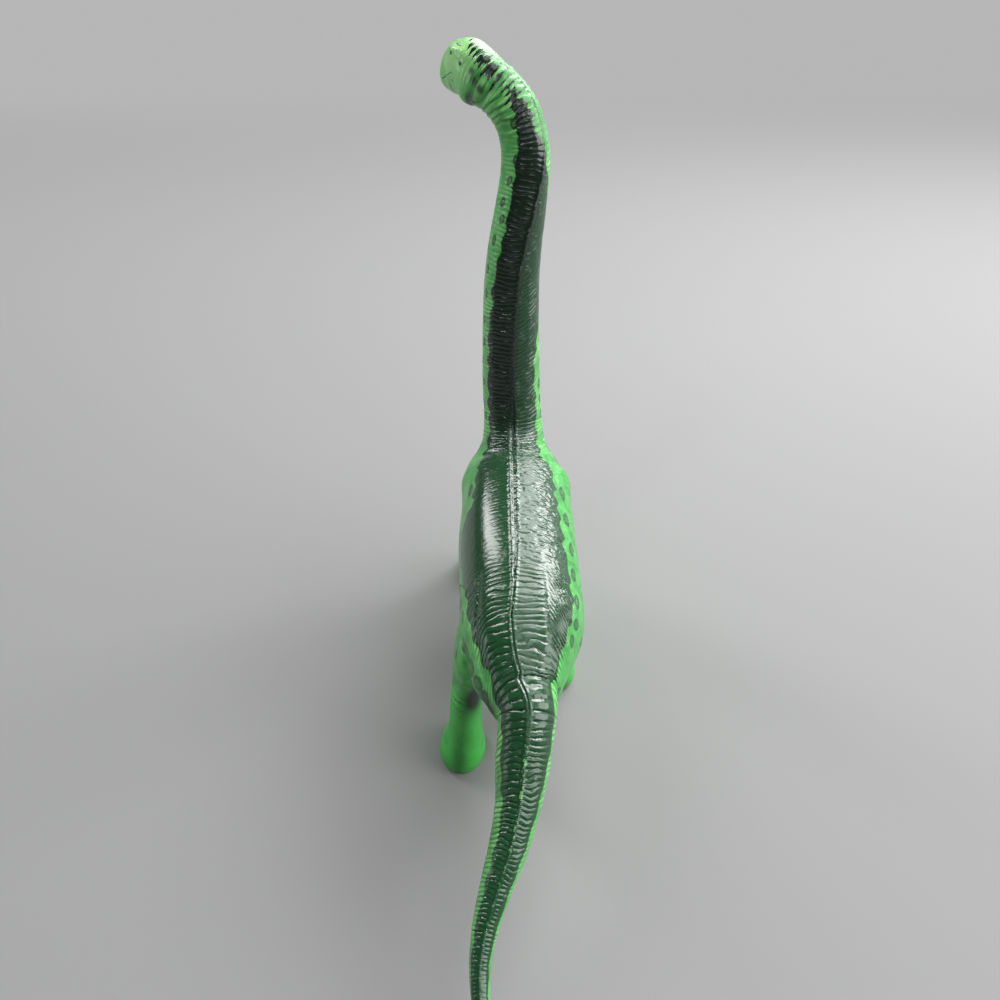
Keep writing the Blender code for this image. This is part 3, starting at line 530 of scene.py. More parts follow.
def cut_nearness(along, reach):
    """1 at the cuts between pieces, falling to 0 a reach away."""
    near = np.zeros_like(along)
    for place in (TIP_CUT, TAIL_CUT, NECK_CUT, HEAD_CUT):
        near = np.maximum(near, np.exp(-((along - length_at(place)) / reach) ** 2))
    return near


TEETH_PER_RIB = 3.0
TEETH_HALF_WIDTH = 0.0006
TEETH_TALLEST = 0.0008
LIP_HALF_WIDTH = 0.0006


def keel(places, along, across):
    """Height of the crest along the back with its two beaded lips and the groove between them."""
    crest, crest_width, apart, height = (table_value(KEEL_ROWS, column, places) for column in range(1, 5))
    half = sided_value(KEEL_ROWS, 5, 6, places, across)
    phase = np.interp(along, TABLE_LENGTHS, RIB_PHASES)
    wiggle = 1.5 * noise("keel_teeth", along, across)
    teeth = np.abs(np.sin(TEETH_PER_RIB * pi * phase + wiggle)) ** 0.7
    beads = 0.70 + 0.18 * teeth + 0.45 * noise("keel_beads", along, across)
    beads = beads + 0.10 * noise("keel_swell", along, across * 0.0)
    middle = apart + 0.6 * (half - LIP_HALF_WIDTH)
    lip = np.exp(-((np.abs(across) - middle) / half) ** 2)
    tent = np.exp(-(np.abs(across) / crest_width) ** 1.15)
    ridge = np.exp(-(across / TEETH_HALF_WIDTH) ** 2)
    serration = (teeth - 0.5) * ridge * np.minimum(crest, TEETH_TALLEST) * 0.35
    groove = np.exp(-(across / (0.5 * apart + 0.0001)) ** 2) * smooth_step(0.0004, 0.0009, apart)
    return crest * tent + serration + height * (lip * beads + 0.30 * tent - 0.9 * groove)


# Stretches of the spine: where each starts, is full, begins to end and has ended
CALM_STRETCH = (12.8, 13.8, 18.2, 19.2)
TRUNK_STRETCH = (9.4, 10.2, 18.0, 19.0)
HIP_STRETCH = (10.2, 11.0, 13.0, 13.8)
LANE_STRETCH = (10.4, 11.2, 13.0, 13.8)
BOSS_STRETCH = (12.6, 14.0, 18.6, 20.0)
SADDLE_STRETCH = (9.5, 11.0, 18.5, 20.5)
JAW_STRETCH = (31.06, 31.25, 31.3, 32.8)
# How far the noises are moved on along the left side, in cells
LEFT_RIB_SHIFT = 37.0
LEFT_GRAIN_SHIFT = 19.0
LEFT_BOSS_SHIFT = 23.0
LANE_HALF_WIDTH = 0.0013


def ribs(places, along, across, girth):
    """Height of the cross ribs over the back and flanks."""
    height = table_value(RIB_ROWS, 2, places)
    near_sweep = sided_value(RIB_ROWS, 3, 5, places, across)
    far_sweep = sided_value(RIB_ROWS, 4, 6, places, across)
    out = np.abs(across)
    beyond = np.maximum(0.0, out - SWEEP_START)
    far = past_knee(across)
    shift = np.where(across > 0.0, 0.0, LEFT_RIB_SHIFT)
    free = 1.0 - cut_nearness(along, 0.0022)
    steady = 1.0 - cut_nearness(along, 0.0060)
    shifted = along + free * (near_sweep * (beyond - far) + far_sweep * far)
    phase = np.interp(shifted, TABLE_LENGTHS, RIB_PHASES)
    fine = noise("rib_wiggle", along, across, shift)
    phase = phase + steady * (0.50 * noise("rib_bend", along, across, shift) + 0.24 * fine)
    crest = np.abs(np.sin(pi * phase)) ** 0.7 - 0.62
    half = np.abs(np.sin(2.0 * pi * phase + 1.3 * fine * steady)) ** 0.8 - 0.62
    flank = 1.0 - 0.55 * smooth_step(0.42, 0.72, out / girth)
    start = table_value(KEEL_ROWS, 3, places)
    middle = smooth_step(start, start + 0.0014, out)
    strength = rib_strength(places, along, across, girth, shift)
    return height * flank * middle * strength * (crest + 0.36 * half)


def past_knee(across):
    """How far a point lies beyond the line where the ribs change their sweep."""
    return np.maximum(0.0, np.abs(across) - np.where(across > 0.0, SWEEP_KNEES[1], SWEEP_KNEES[0]))


def rib_strength(places, along, across, girth, shift):
    """Uneven strength of the ribs, weak over the shoulders, beside the dark back and in the lane."""
    right = across > 0.0
    share = np.abs(across) / girth
    strength = 0.85 + 0.40 * noise("rib_strength", along, across, shift)
    strength = strength + 0.48 * noise("rib_breaks", along, across, shift)
    strength = np.maximum(strength, 0.40)
    calm = between(places, *CALM_STRETCH) * np.where(right, 0.30, 0.75) * smooth_step(0.06, 0.14, share)
    edge = sided_value(SADDLE_EDGE_SHARES, 1, 2, places, across)
    past_edge = smooth_step(0.0, 0.06, share - np.abs(edge))
    strength = strength * (1.0 - 0.80 * between(places, *TRUNK_STRETCH) * past_edge)
    strength = strength * (1.0 - 0.35 * right * (1.0 - smooth_step(6.5, 8.5, places)))
    strength = strength * (1.0 - calm) * (1.0 - 0.85 * smooth_lane(places, across, girth))
    outer_hip = right * between(places, *HIP_STRETCH) * smooth_step(0.0, 0.002, past_knee(across))
    return strength * (1.0 + 0.9 * outer_hip)


def smooth_lane(places, across, girth):
    """1 in the bare lane beside the right hip, falling to 0 at its sides."""
    lane = np.array(GROOVE_LINES[0][2])
    middle = np.interp(places, lane[:, 0], lane[:, 1]) * girth
    return between(places, *LANE_STRETCH) * np.exp(-((across - middle) / LANE_HALF_WIDTH) ** 2)


PEBBLE_HEIGHT = 0.000032
DENT_HEIGHT = 0.00006


def grain(along, across):
    """Fine pebbling of the whole skin, weaker on a strip of the left flank."""
    shift = np.where(across > 0.0, 0.0, LEFT_GRAIN_SHIFT)
    pebbles = PEBBLE_HEIGHT * noise("pebbles", along, across, shift)
    dents = DENT_HEIGHT * noise("dents", along, across, shift)
    strip = np.exp(-((across + 0.0105) / 0.0050) ** 4) * np.exp(-((along - 0.2050) / 0.0300) ** 4)
    return (1.0 - 0.7 * strip) * (pebbles + dents)


LEFT_BOSS_HEIGHT = 0.00002
RIGHT_BOSS_HEIGHT = 0.00030


def bosses(places, along, across):
    """Short broken bumps over the shoulders and the middle of the back."""
    right = across > 0.0
    bumps = noise("bosses", along, across, np.where(right, 0.0, LEFT_BOSS_SHIFT))
    height = np.where(right, RIGHT_BOSS_HEIGHT, LEFT_BOSS_HEIGHT)
    return height * between(places, *BOSS_STRETCH) * bumps


# Muscles and hollows: place, share of half the girth across (left negative), half length, half
# girth and height in metres.
FORM_ROWS = [
    (10.5, -0.42, 0.0068, 0.0070, 0.0020),
    (10.7, 0.42, 0.0075, 0.0080, 0.0009),
    (11.7, 0.32, 0.0125, 0.0065, 0.0009),
    (11.9, -0.34, 0.0120, 0.0070, 0.0006),
    (17.9, 0.00, 0.0085, 0.0150, 0.0022),
    (19.0, 0.00, 0.0065, 0.0130, 0.0022),
    (32.9, 0.00, 0.0050, 0.0065, 0.0005),
    (33.90, 0.00, 0.0060, 0.0110, -0.0010),
    (33.10, 0.00, 0.0018, 0.0090, -0.0004),
] + both_sides([
    (12.6, 0.52, 0.0120, 0.0120, 0.0007),
    (17.0, 0.36, 0.0075, 0.0100, 0.0014),
    (14.4, 0.62, 0.0130, 0.0130, -0.0004),
    (32.45, 0.30, 0.0030, 0.0020, 0.0007),
    (32.10, 0.42, 0.0014, 0.0012, -0.0007),
    (32.10, 0.42, 0.0008, 0.0008, 0.0008),
    (31.70, 0.36, 0.0018, 0.0030, -0.0004),
    (33.00, 0.30, 0.0022, 0.0018, 0.0006),
    (32.70, 0.235, 0.0013, 0.0006, -0.0004),
    (32.90, 0.37, 0.0006, 0.0006, -0.0003),
    (33.10, 0.64, 0.0060, 0.0060, -0.0012),
    (34.20, 0.58, 0.0050, 0.0060, -0.0014),
    (31.60, 0.86, 0.0034, 0.0060, 0.0008),
])
# Grooves between muscles: depth and half width in metres, then places with shares across; the
# first one is also the bare lane beside the right hip
GROOVE_LINES = [
    (0.00034, 0.0016, [(10.2, 0.30), (10.9, 0.25), (11.8, 0.20), (12.6, 0.168), (13.2, 0.15)]),
    (0.00035, 0.0011, [(10.2, -0.30), (10.9, -0.26), (11.8, -0.22), (12.6, -0.19), (13.2, -0.18)]),
    (0.00035, 0.0014, [(15.4, 0.30), (16.0, 0.25), (17.0, 0.24), (17.8, 0.27), (18.4, 0.34)]),
    (0.00035, 0.0014, [(15.4, -0.30), (16.0, -0.25), (17.0, -0.24), (17.8, -0.27), (18.4, -0.34)]),
]
GROOVE_FADE = 0.35
JAW_DROP = 0.0009
NECK_FOLD_HEIGHT = 0.00052
NECK_FOLD_PITCH = 0.0033


def grooves(places, across, girth):
    """Soft grooves between the muscles of the hips and the shoulders."""
    total = np.zeros_like(across)
    for depth, half_width, line in GROOVE_LINES:
        spots = np.array(line)
        wanted = np.interp(places, spots[:, 0], spots[:, 1]) * girth
        rise = (spots[0, 0] - GROOVE_FADE, spots[0, 0] + GROOVE_FADE)
        fall = (spots[-1, 0] - GROOVE_FADE, spots[-1, 0] + GROOVE_FADE)
        fade = between(places, *rise, *fall)
        total -= depth * fade * np.exp(-((across - wanted) / half_width) ** 2)
    return total


def jaw_angle(places, across, girth):
    """The jaw that hangs below the throat."""
    low = smooth_step(0.58, 0.82, np.abs(across) / girth)
    return JAW_DROP * low * between(places, *JAW_STRETCH)


def neck_folds(places, along, across, girth):
    """Deep folds on the inner side of the bend behind the head."""
    inward = -across / girth
    reach = 31.3 + 0.7 * (1.0 - smooth_step(0.15, 0.40, inward))
    near = between(places, 27.6, 29.6, reach - 0.35, reach + 0.1)
    phase = along / NECK_FOLD_PITCH + 0.55 * noise("neck_bend", along, across)
    wave = np.abs(np.sin(pi * (phase - 0.10 * np.abs(across) / 0.002))) ** 0.6
    outer = smooth_step(0.24, 0.40, inward)
    fold = outer * (wave - 0.7) + (1.0 - outer) * (0.55 - wave)
    return NECK_FOLD_HEIGHT * near * smooth_step(0.03, 0.16, inward) * fold


def relief(places, along, across, girth):
    """How far the moulded skin stands off its plain form."""
    return (
        keel(places, along, across)
        + ribs(places, along, across, girth)
        + neck_folds(places, along, across, girth)
        + mounds(FORM_ROWS, along, across, girth)
        + grain(along, across)
        + bosses(places, along, across)
        + grooves(places, across, girth)
        + jaw_angle(places, across, girth)
    )


def ring_angles(count):
    """Angles round the skin, from the back over the right side."""
    return pi / 2.0 - 2.0 * pi * np.arange(count) / count


def ring_grid(places, angles, inset=0.0):
    """Plain points of the skin, as places by angles: angle 0 is the right side, pi / 2 the back."""
    row, side, back, _ = frames_at(places)
    c = np.cos(angles)[None, :]
    s = np.sin(angles)[None, :]
    power = 2.0 / SKIN_ROUNDNESS
    width = np.where(c > 0.0, row[:, 4:5], row[:, 3:4]) - inset
    depth = np.where(s > 0.0, row[:, 5:6], row[:, 6:7]) - inset
    out = np.sign(c) * np.abs(c) ** power * width
    rise = np.sign(s) * np.abs(s) ** power * depth
    return row[:, None, :3] + side[:, None] * out[..., None] + back[:, None] * rise[..., None]


def across_grid(points):
    """Signed distance across from the first column, right positive, and half the girth."""
    steps = np.linalg.norm(np.roll(points, -1, axis=1) - points, axis=-1)
    walked = np.concatenate([np.zeros((len(points), 1)), np.cumsum(steps, axis=1)[:, :-1]], axis=1)
    total = steps.sum(axis=1, keepdims=True)
    count = points.shape[1]
    across = np.where(np.arange(count)[None, :] <= count // 2, walked, walked - total)
    return across, np.broadcast_to(total / 2.0, across.shape)


def skin_sheet(start, end, step, sides):
    """Displaced points of a length of the skin, from the back round the right side."""
    first, last = length_at(start), length_at(end)
    count = max(2, int(round((last - first) / step)))
    lengths = np.linspace(first, last, count + 1)
    places = place_at(lengths)
    places[0], places[-1] = start, end
    points = ring_grid(places, ring_angles(sides))
    across, girth = across_grid(points)
    along = np.broadcast_to(lengths[:, None], across.shape)
    spots = np.broadcast_to(places[:, None], across.shape)
    run = np.gradient(points, axis=0)
    turn = np.roll(points, -1, axis=1) - np.roll(points, 1, axis=1)
    outward = unit(np.cross(turn, run))
    centre = rows_at(places)[:, None, :3]
    flip = np.sign(np.sum(outward * (points - centre), axis=-1, keepdims=True))
    height = relief(spots, along, across, girth)
    points = points + outward * flip * height[..., None]
    flatten_end(points, places, 0, 1.0)
    flatten_end(points, places, len(places) - 1, -1.0)
    return points, places


def flatten_end(points, places, end, inward):
    """Keep the rings near an end behind its cut plane, each a little further in than the last."""
    row, _, _, forward = frames_at(places[end:end + 1])
    for k in range(END_RINGS):
        ring = points[end + int(inward) * k]
        ahead = (ring - row[0, :3]) @ forward[0] * inward
        least = k * END_RING_STEP
        lack = np.where(ahead < least, least - ahead, 0.0) if k else -ahead
        ring += lack[:, None] * forward[0] * inward


def grid_object(name, columns):
    """A closed solid through rings of points, given as rings by points by 3, with fan caps."""
    rings, count = columns.shape[:2]
    caps = np.stack([columns[0].mean(axis=0), columns[-1].mean(axis=0)])
    points = np.concatenate([columns.reshape(-1, 3), caps])
    k = np.arange(count)
    near = (np.arange(rings - 1)[:, None] * count + k).reshape(-1)
    following = (np.arange(rings - 1)[:, None] * count + (k + 1) % count).reshape(-1)
    faces = np.stack([near, following, following + count, near + count], axis=1).tolist()
    start_cap, end_cap = rings * count, rings * count + 1
    last = (rings - 1) * count
    for j in range(count):
        following = (j + 1) % count
        faces.append([start_cap, following, j])
        faces.append([end_cap, last + j, last + following])
    mesh = bpy.data.meshes.new(name)
    mesh.from_pydata(points.tolist(), [], faces)
    build = bmesh.new()
    build.from_mesh(mesh)
    bmesh.ops.recalc_face_normals(build, faces=build.faces)
    build.to_mesh(mesh)
    build.free()
    return new_object(name, mesh)


def new_object(name, mesh):
    """Put a mesh in the scene."""
    item = bpy.data.objects.new(name, mesh)
    bpy.context.scene.collection.objects.link(item)
    return item


def half_pieces(body, start, end, step, sides):
    """The left and then the right half of a body's skin, each with its hand and its node's name."""
    for word, hand in HANDS.items():
        item = half_piece("%s_%s_skin" % (body, word), start, end, step, sides, hand)
        yield item, hand, "%s_%s_shell" % (body, word)


def half_piece(name, start, end, step, sides, hand):
    """The left or right half of a length of the skin, closed by a wall through the spine."""
    points, places = skin_sheet(start, end, step, sides)
    half = sides // 2
    row, side, _, _ = frames_at(places)
    if hand > 0:
        columns = points[:, :half + 1]
    else:
        columns = np.concatenate([points[:, half:], points[:, :1]], axis=1)
    columns = np.concatenate([columns, row[:, None, :3]], axis=1)
    return grid_object(name, columns + side[:, None] * hand * SEAM_GAP / 2.0)


def whole_piece(name, start, end, step, sides):
    """A whole length of the skin."""
    points, _ = skin_sheet(start, end, step, sides)
    if end == SNOUT:
        points = np.concatenate([points, snout_dome(points)])
    return grid_object(name, points)


def snout_dome(points):
    """Rings that round off the end of the snout."""
    rim = points[-1]
    centre = rim.mean(axis=0)
    ahead = unit(centre - points[-2].mean(axis=0))
    turns = np.linspace(0.0, pi / 2.0, DOME_RINGS + 2)[1:-1]
    rings = [centre + (rim - centre) * cos(turn) + ahead * SNOUT_BULGE * sin(turn) for turn in turns]
    return np.array(rings)


def hollow_form(start, end, inset=HOLLOW_INSET):
    """The inside of a length of the skin."""
    count = max(2, int(round((length_at(end) - length_at(start)) / HOLLOW_STEP)))
    angles = 2.0 * pi * np.arange(HOLLOW_SIDES) / HOLLOW_SIDES
    return grid_object("hollow", ring_grid(np.linspace(start, end, count + 1), angles, inset))


def rod(name, origin, axis, start, end, radius):
    """A plain cylinder between two distances along an axis."""
    direction = axis.normalized()
    across = direction.orthogonal().normalized()
    other = direction.cross(across)
    turns = [2.0 * pi * k / ROUND_SIDES for k in range(ROUND_SIDES)]
    rim = [(across * cos(turn) + other * sin(turn)) * radius for turn in turns]
    rings = [[origin + direction * distance + point for point in rim] for distance in (start, end)]
    return grid_object(name, np.array(rings))


def arch(name, pair, hand, face, radius):
    """A round-topped slot out through a flank from a face, which widens down to below the floor."""
    rings = []
    foot = radius + ARCH_FLARE
    drop = pair.centre.z + CUT_OVERRUN
    for distance in (face, FLANK_REACH):
        middle = Vector((BASE.x + hand * distance, pair.centre.y, pair.centre.z))
        ring = [
            middle + Vector((0.0, cos(angle), sin(angle))) * radius
            for angle in (pi * k / ROUND_SIDES for k in range(ROUND_SIDES + 1))
        ]
        ring.append(middle - Vector((0.0, foot, drop)))
        ring.append(middle - Vector((0.0, -foot, drop)))
        rings.append(ring)
    return grid_object(name, np.array(rings))


def boolean(target, other, operation="DIFFERENCE"):
    """Combine two meshes and keep only the result."""
    modifier = target.modifiers.new("cut", "BOOLEAN")
    modifier.operation = operation
    modifier.solver = "MANIFOLD"
    modifier.object = other
    bake_modifiers(target)
    bpy.data.objects.remove(other, do_unlink=True)


def cut(item, cutters):
    """Take cutters away from a mesh, one after another."""
    for cutter in cutters:
        boolean(item, cutter)


def bake_modifiers(item):
    """Replace a mesh by what its modifiers make of it."""
    bpy.context.view_layer.update()
    graph = bpy.context.evaluated_depsgraph_get()
    mesh = bpy.data.meshes.new_from_object(item.evaluated_get(graph))
    item.modifiers.clear()
    old = item.data
    item.data = mesh
    bpy.data.meshes.remove(old)
    if not mesh.polygons:
        raise RuntimeError("nothing is left of " + item.name)


def coordinates(item):
    """A mesh's points as an array."""
    points = np.empty(len(item.data.vertices) * 3)
    item.data.vertices.foreach_get("co", points)
    return points.reshape(-1, 3)


def point_normals(item):
    """A mesh's smooth normals as an array."""
    normals = np.empty(len(item.data.vertices) * 3, np.float32)
    item.data.vertex_normals.foreach_get("vector", normals)
    return normals.reshape(-1, 3).astype(float)


def spine_tree():
    """A search tree over the spine's centres."""
    tree = KDTree(len(TABLE_PLACES))
    for index, centre in enumerate(TABLE_ROWS[:, :3]):
        tree.insert(centre, index)
    tree.balance()
    return tree


SPINE_TREE = spine_tree()
ARC_ANGLES = 128
ARC_POINTS = ring_grid(TABLE_PLACES, ring_angles(ARC_ANGLES))
ARC_ACROSS, ARC_GIRTH = across_grid(ARC_POINTS)


def skin_places(points):
    """Place, distance along, distance across and half girth of any points near the skin."""
    nearest = np.array([SPINE_TREE.find(point)[1] for point in points])
    offset = points - TABLE_ROWS[nearest, :3]
    ahead = np.sum(offset * TABLE_FORWARD[nearest], axis=1)
    lengths = TABLE_LENGTHS[nearest] + ahead
    sideways = np.sum(offset * TABLE_SIDE[nearest], axis=1)
    upwards = np.sum(offset * TABLE_BACK[nearest], axis=1)
    row = TABLE_ROWS[nearest]
    width = np.where(sideways > 0.0, row[:, 4], row[:, 3])
    depth = np.where(upwards > 0.0, row[:, 5], row[:, 6])
    power = SKIN_ROUNDNESS / 2.0
    x = np.sign(sideways) * (np.abs(sideways) / width) ** power
    y = np.sign(upwards) * (np.abs(upwards) / depth) ** power
    turn = (pi / 2.0 - np.arctan2(y, x)) % (2.0 * pi)
    column = turn / (2.0 * pi) * ARC_ANGLES
    low = column.astype(int) % ARC_ANGLES
    high = (low + 1) % ARC_ANGLES
    share = column - np.floor(column)
    near = ARC_ACROSS[nearest, low]
    far = ARC_ACROSS[nearest, high]
    half = ARC_GIRTH[nearest, 0]
    far = np.where(far - near < -half, far + 2.0 * half, far)
    far = np.where((low == ARC_ANGLES - 1), 0.0, far)
    across = near + (far - near) * share
    across = np.where(across > half, across - 2.0 * half, across)
    return place_at(lengths), lengths, across, half


# Spots: place, share of half the girth across (left negative), half length and half girth in
# metres.
SPOT_ROWS = [
    (15.9, -0.262, 0.0040, 0.0020),
    (14.98, -0.268, 0.0036, 0.0019),
    (14.05, -0.455, 0.0034, 0.0018),
    (13.55, -0.425, 0.0032, 0.0017),
    (13.0, -0.395, 0.0030, 0.0017),
    (12.45, -0.370, 0.0030, 0.0016),
    (11.85, -0.417, 0.0027, 0.0025),
    (11.45, -0.385, 0.0032, 0.0024),
    (10.90, -0.378, 0.0030, 0.0024),
    (10.38, -0.372, 0.0028, 0.0023),
    (9.95, -0.410, 0.0022, 0.0026),
    (15.75, 0.288, 0.0042, 0.0021),
    (14.9, 0.300, 0.0038, 0.0022),
    (14.1, 0.325, 0.0034, 0.0019),
    (13.35, 0.330, 0.0034, 0.0019),
    (12.6, 0.365, 0.0034, 0.0021),
    (11.9, 0.400, 0.0028, 0.0022),
    (11.2, 0.420, 0.0024, 0.0020),
]
SPOT_GROWTH = 1.18
SCALLOP_PITCH = 0.0105
# Rows of smaller spots: first place, last place and step
NECK_SPOTS = (17.6, 28.8, 0.62)
TAIL_SPOTS = (3.2, 9.8, 0.72)
FLANK_SPOTS = (12.06, 17.4, 0.66)
# Depths well outside every spot and mark, and in millimetres outside the dark back
FAR_OUTSIDE = -3.0
NO_SADDLE = -9.0
MILLIMETRES = 1000.0


def spot_rows():
    """Every spot of both sides: the placed ones, then rows along neck, tail and lower flanks."""
    spots = list(SPOT_ROWS)
    source = np.random.default_rng(5)
    for hand in HANDS.values():
        for place in np.arange(*NECK_SPOTS):
            share = 0.40 + 0.05 * source.uniform(-1.0, 1.0)
            size = 0.0016 - 0.00045 * (place - NECK_SPOTS[0]) / 13.0
            spots.append((place + 0.1 * source.uniform(-1.0, 1.0), hand * share, size * 1.5, size))
        for place in np.arange(*TAIL_SPOTS):
            share = 0.50 + 0.04 * source.uniform(-1.0, 1.0)
            size = 0.0005 + 0.0010 * (place - TAIL_SPOTS[0]) / 6.6
            spots.append((place, hand * share, size * 1.5, size))
        for place in np.arange(*FLANK_SPOTS):
            share = 0.56 + 0.05 * source.uniform(-1.0, 1.0)
            spots.append((place, hand * share, 0.0026, 0.0017))
    return spots


def spot_depth(places, along, across, girth):
    """How deep a point lies in its nearest spot: 1 at the middle, 0 at the rim, negative outside."""
    depth = np.full_like(along, FAR_OUTSIDE)
    for place, share, half_length, half_girth in spot_rows():
        half_length, half_girth = SPOT_GROWTH * half_length, SPOT_GROWTH * half_girth
        near = np.abs(places - place) < 1.2
        run = (along[near] - length_at(place)) / half_length
        rise = (across[near] - share * girth[near]) / half_girth
        depth[near] = np.maximum(depth[near], 1.0 - np.sqrt(run ** 2 + rise ** 2))
    return depth


def saddle_depth(places, along, across, girth):
    """How far in metres a point lies inside the dark back, with a scalloped edge."""
    size = np.minimum(0.0016, 0.032 * girth)
    inside = []
    for hand, column, shift in ((-1.0, 1, 0.37), (1.0, 2, 0.0)):
        edge = table_value(SADDLE_EDGE_SHARES, column, places) * girth
        turn = along / SCALLOP_PITCH + shift + 0.1 * np.sin(along / 0.004)
        wander = noise("saddle_wander", along, np.zeros_like(along), shift * 9.0)
        inside.append(edge + size * (0.5 * np.sin(2.0 * pi * turn) + 0.7 * wander) - hand * across)
    depth = np.minimum(*inside)
    folded = smooth_step(27.9, 29.6, places)
    crown = smooth_step(29.7, 30.6, places)
    body = between(places, *SADDLE_STRETCH)
    rib_height = ribs(places, along, across, girth)
    raised = rib_height + neck_folds(places, along, across, girth)
    depth = depth - (5.5 * folded + 5.0 * crown + 2.2 * (1.0 - folded) * (1.0 - 0.6 * body)) * raised
    lines = smooth_step(0.00004, 0.00009, rib_height)
    depth = depth - 0.0045 * smooth_step(28.8, 30.6, places) * lines
    line = (0.00030 - np.abs(across + 0.0013)) - 0.01 * (1.0 - smooth_step(26.8, 27.6, places))
    line = line - 0.01 * smooth_step(32.6, 33.0, places)
    return np.maximum(depth, line)


# Small black marks on the head: place, distance across in metres on either side, half length
# and half width in metres.
MARK_ROWS = [
    (32.10, 0.0122, 0.0007, 0.0007),
    (32.70, 0.0069, 0.0014, 0.0005),
    (32.90, 0.0109, 0.0007, 0.0007),
    (32.75, 0.0212, 0.0008, 0.0004),
]
# Soft dark patches on the head, the throat and behind the left thigh: painted shade in the hollows behind
# the jaw, under the jaw and under the thigh, partly airbrushed paint. Columns: place, share of half the
# girth across (left negative), half length and half girth in metres, and strength.
SHADE_ROWS = [
    (9.85, -0.450, 0.0045, 0.0040, 1.5),
] + both_sides([
    (31.15, 0.47, 0.0011, 0.0014, 1.9),
    (31.40, 0.40, 0.0011, 0.0013, 1.6),
    (30.80, 0.50, 0.0010, 0.0015, 1.9),
    (31.10, 0.74, 0.0015, 0.0040, 1.6),
    (31.15, 0.92, 0.0018, 0.0045, 2.2),
])
DARKEST_SHADE = 1.4


def marks(along, across):
    """How deep a point lies in a black mark of the head."""
    depth = np.full_like(along, FAR_OUTSIDE)
    for place, away, half_length, half_width in MARK_ROWS:
        run = (along - length_at(place)) / half_length
        rise = (np.abs(across) - away) / half_width
        depth = np.maximum(depth, 1.0 - np.sqrt(run ** 2 + rise ** 2))
    return depth


def shades(along, across, girth):
    """Strength of the dark patches: painted shade in hollows, under the jaw and under the thigh, partly
    airbrushed paint.
    """
    return np.minimum(mounds(SHADE_ROWS, along, across, girth), DARKEST_SHADE)


def colour_points(item, streak_and_shade=None):
    """Store where the paints lie on a skin piece."""
    points = coordinates(item)
    places, along, across, girth = skin_places(points)
    store(item, "saddle", saddle_depth(places, along, across, girth) * MILLIMETRES)
    store(item, "spot", spot_depth(places, along, across, girth))
    # Rib and fold heights, which the paint turns into painted highlight on crests and painted shade in
    # valleys
    height = ribs(places, along, across, girth) + neck_folds(places, along, across, girth)
    store(item, "crease", height * MILLIMETRES)
    on_tail = (np.abs(across) < 0.0007) * (1.0 - smooth_step(8.2, 9.2, places))
    store(item, "crest", keel(places, along, across) * MILLIMETRES * on_tail)
    # Painted shade under and behind the jaw and below the left thigh, unless a leg gives its own streak
    # and shade
    store(item, "streak_and_shade", shades(along, across, girth) if streak_and_shade is None else streak_and_shade)
    store(item, "mark", marks(along, across))
    # Painted light: where the dark back takes a lighter green, on the trunk and the tail and right of the
    # ridge on the neck
    beyond_ridge = smooth_step(0.0005, 0.0030, across) * (1.0 - smooth_step(28.5, 29.5, places))
    store(item, "lit", np.maximum(1.0 - smooth_step(18.5, 21.0, places), 0.8 * beyond_ridge))
    cheek = smooth_step(0.35, 0.75, np.abs(across) / girth)
    store(item, "face", smooth_step(31.0, 32.2, places) * (0.98 - 0.50 * cheek))
    return places, along, across, girth


def store(item, name, values):
    """Write a number for each point."""
    attribute = item.data.attributes.get(name) or item.data.attributes.new(name, "FLOAT", "POINT")
    attribute.data.foreach_set("value", np.ascontiguousarray(values, dtype=np.float32))


def finish_skin(item, material, body, node, edge):
    """Give a skin piece its paint and put it on its body in place of its node."""
    item.data.materials.clear()
    item.data.materials.append(material)
    item.data.shade_smooth()
    item.data.set_sharp_from_angle(angle=edge)
    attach(item, body)
    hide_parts(node)


def swivel_cutters(place, shaft_radius, flange_radius):
    """The room for a swivel spool at a cut."""
    centre, _, _, forward = frame_at(place)
    reach = BULKHEAD + EMBED
    depth = BULKHEAD + FLANGE_PLAY + FLANGE_THICKNESS + FLANGE_PLAY
    cutters = [rod("bore", centre, forward, -reach, reach, shaft_radius + CLEARANCE)]
    for direction in (-forward, forward):
        cutters.append(rod("cavity", centre, direction, BULKHEAD, depth, flange_radius + CLEARANCE))
    return cutters


def screw_cutters():
    """Counterbores and through holes where the frame has its screws."""
    cutters = []
    x_axis = Vector((1.0, 0.0, 0.0))
    for number in range(1, 5):
        low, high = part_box("torso_screw_%d" % number)
        centre = Vector((0.0, (low.y + high.y) / 2.0, (low.z + high.z) / 2.0))
        radius = (high.y - low.y) / 2.0
        seat = high.x - (high.x - low.x) * SCREW_HEAD_SHARE - CLEARANCE * 2.0
        cutters.append(rod("counterbore", centre, x_axis, seat, FLANK_REACH, radius + CLEARANCE))
        shank = radius * SCREW_SHANK_SHARE
        cutters.append(rod("shank_hole", centre, x_axis, low.x - CLEARANCE, high.x, shank))
    return cutters


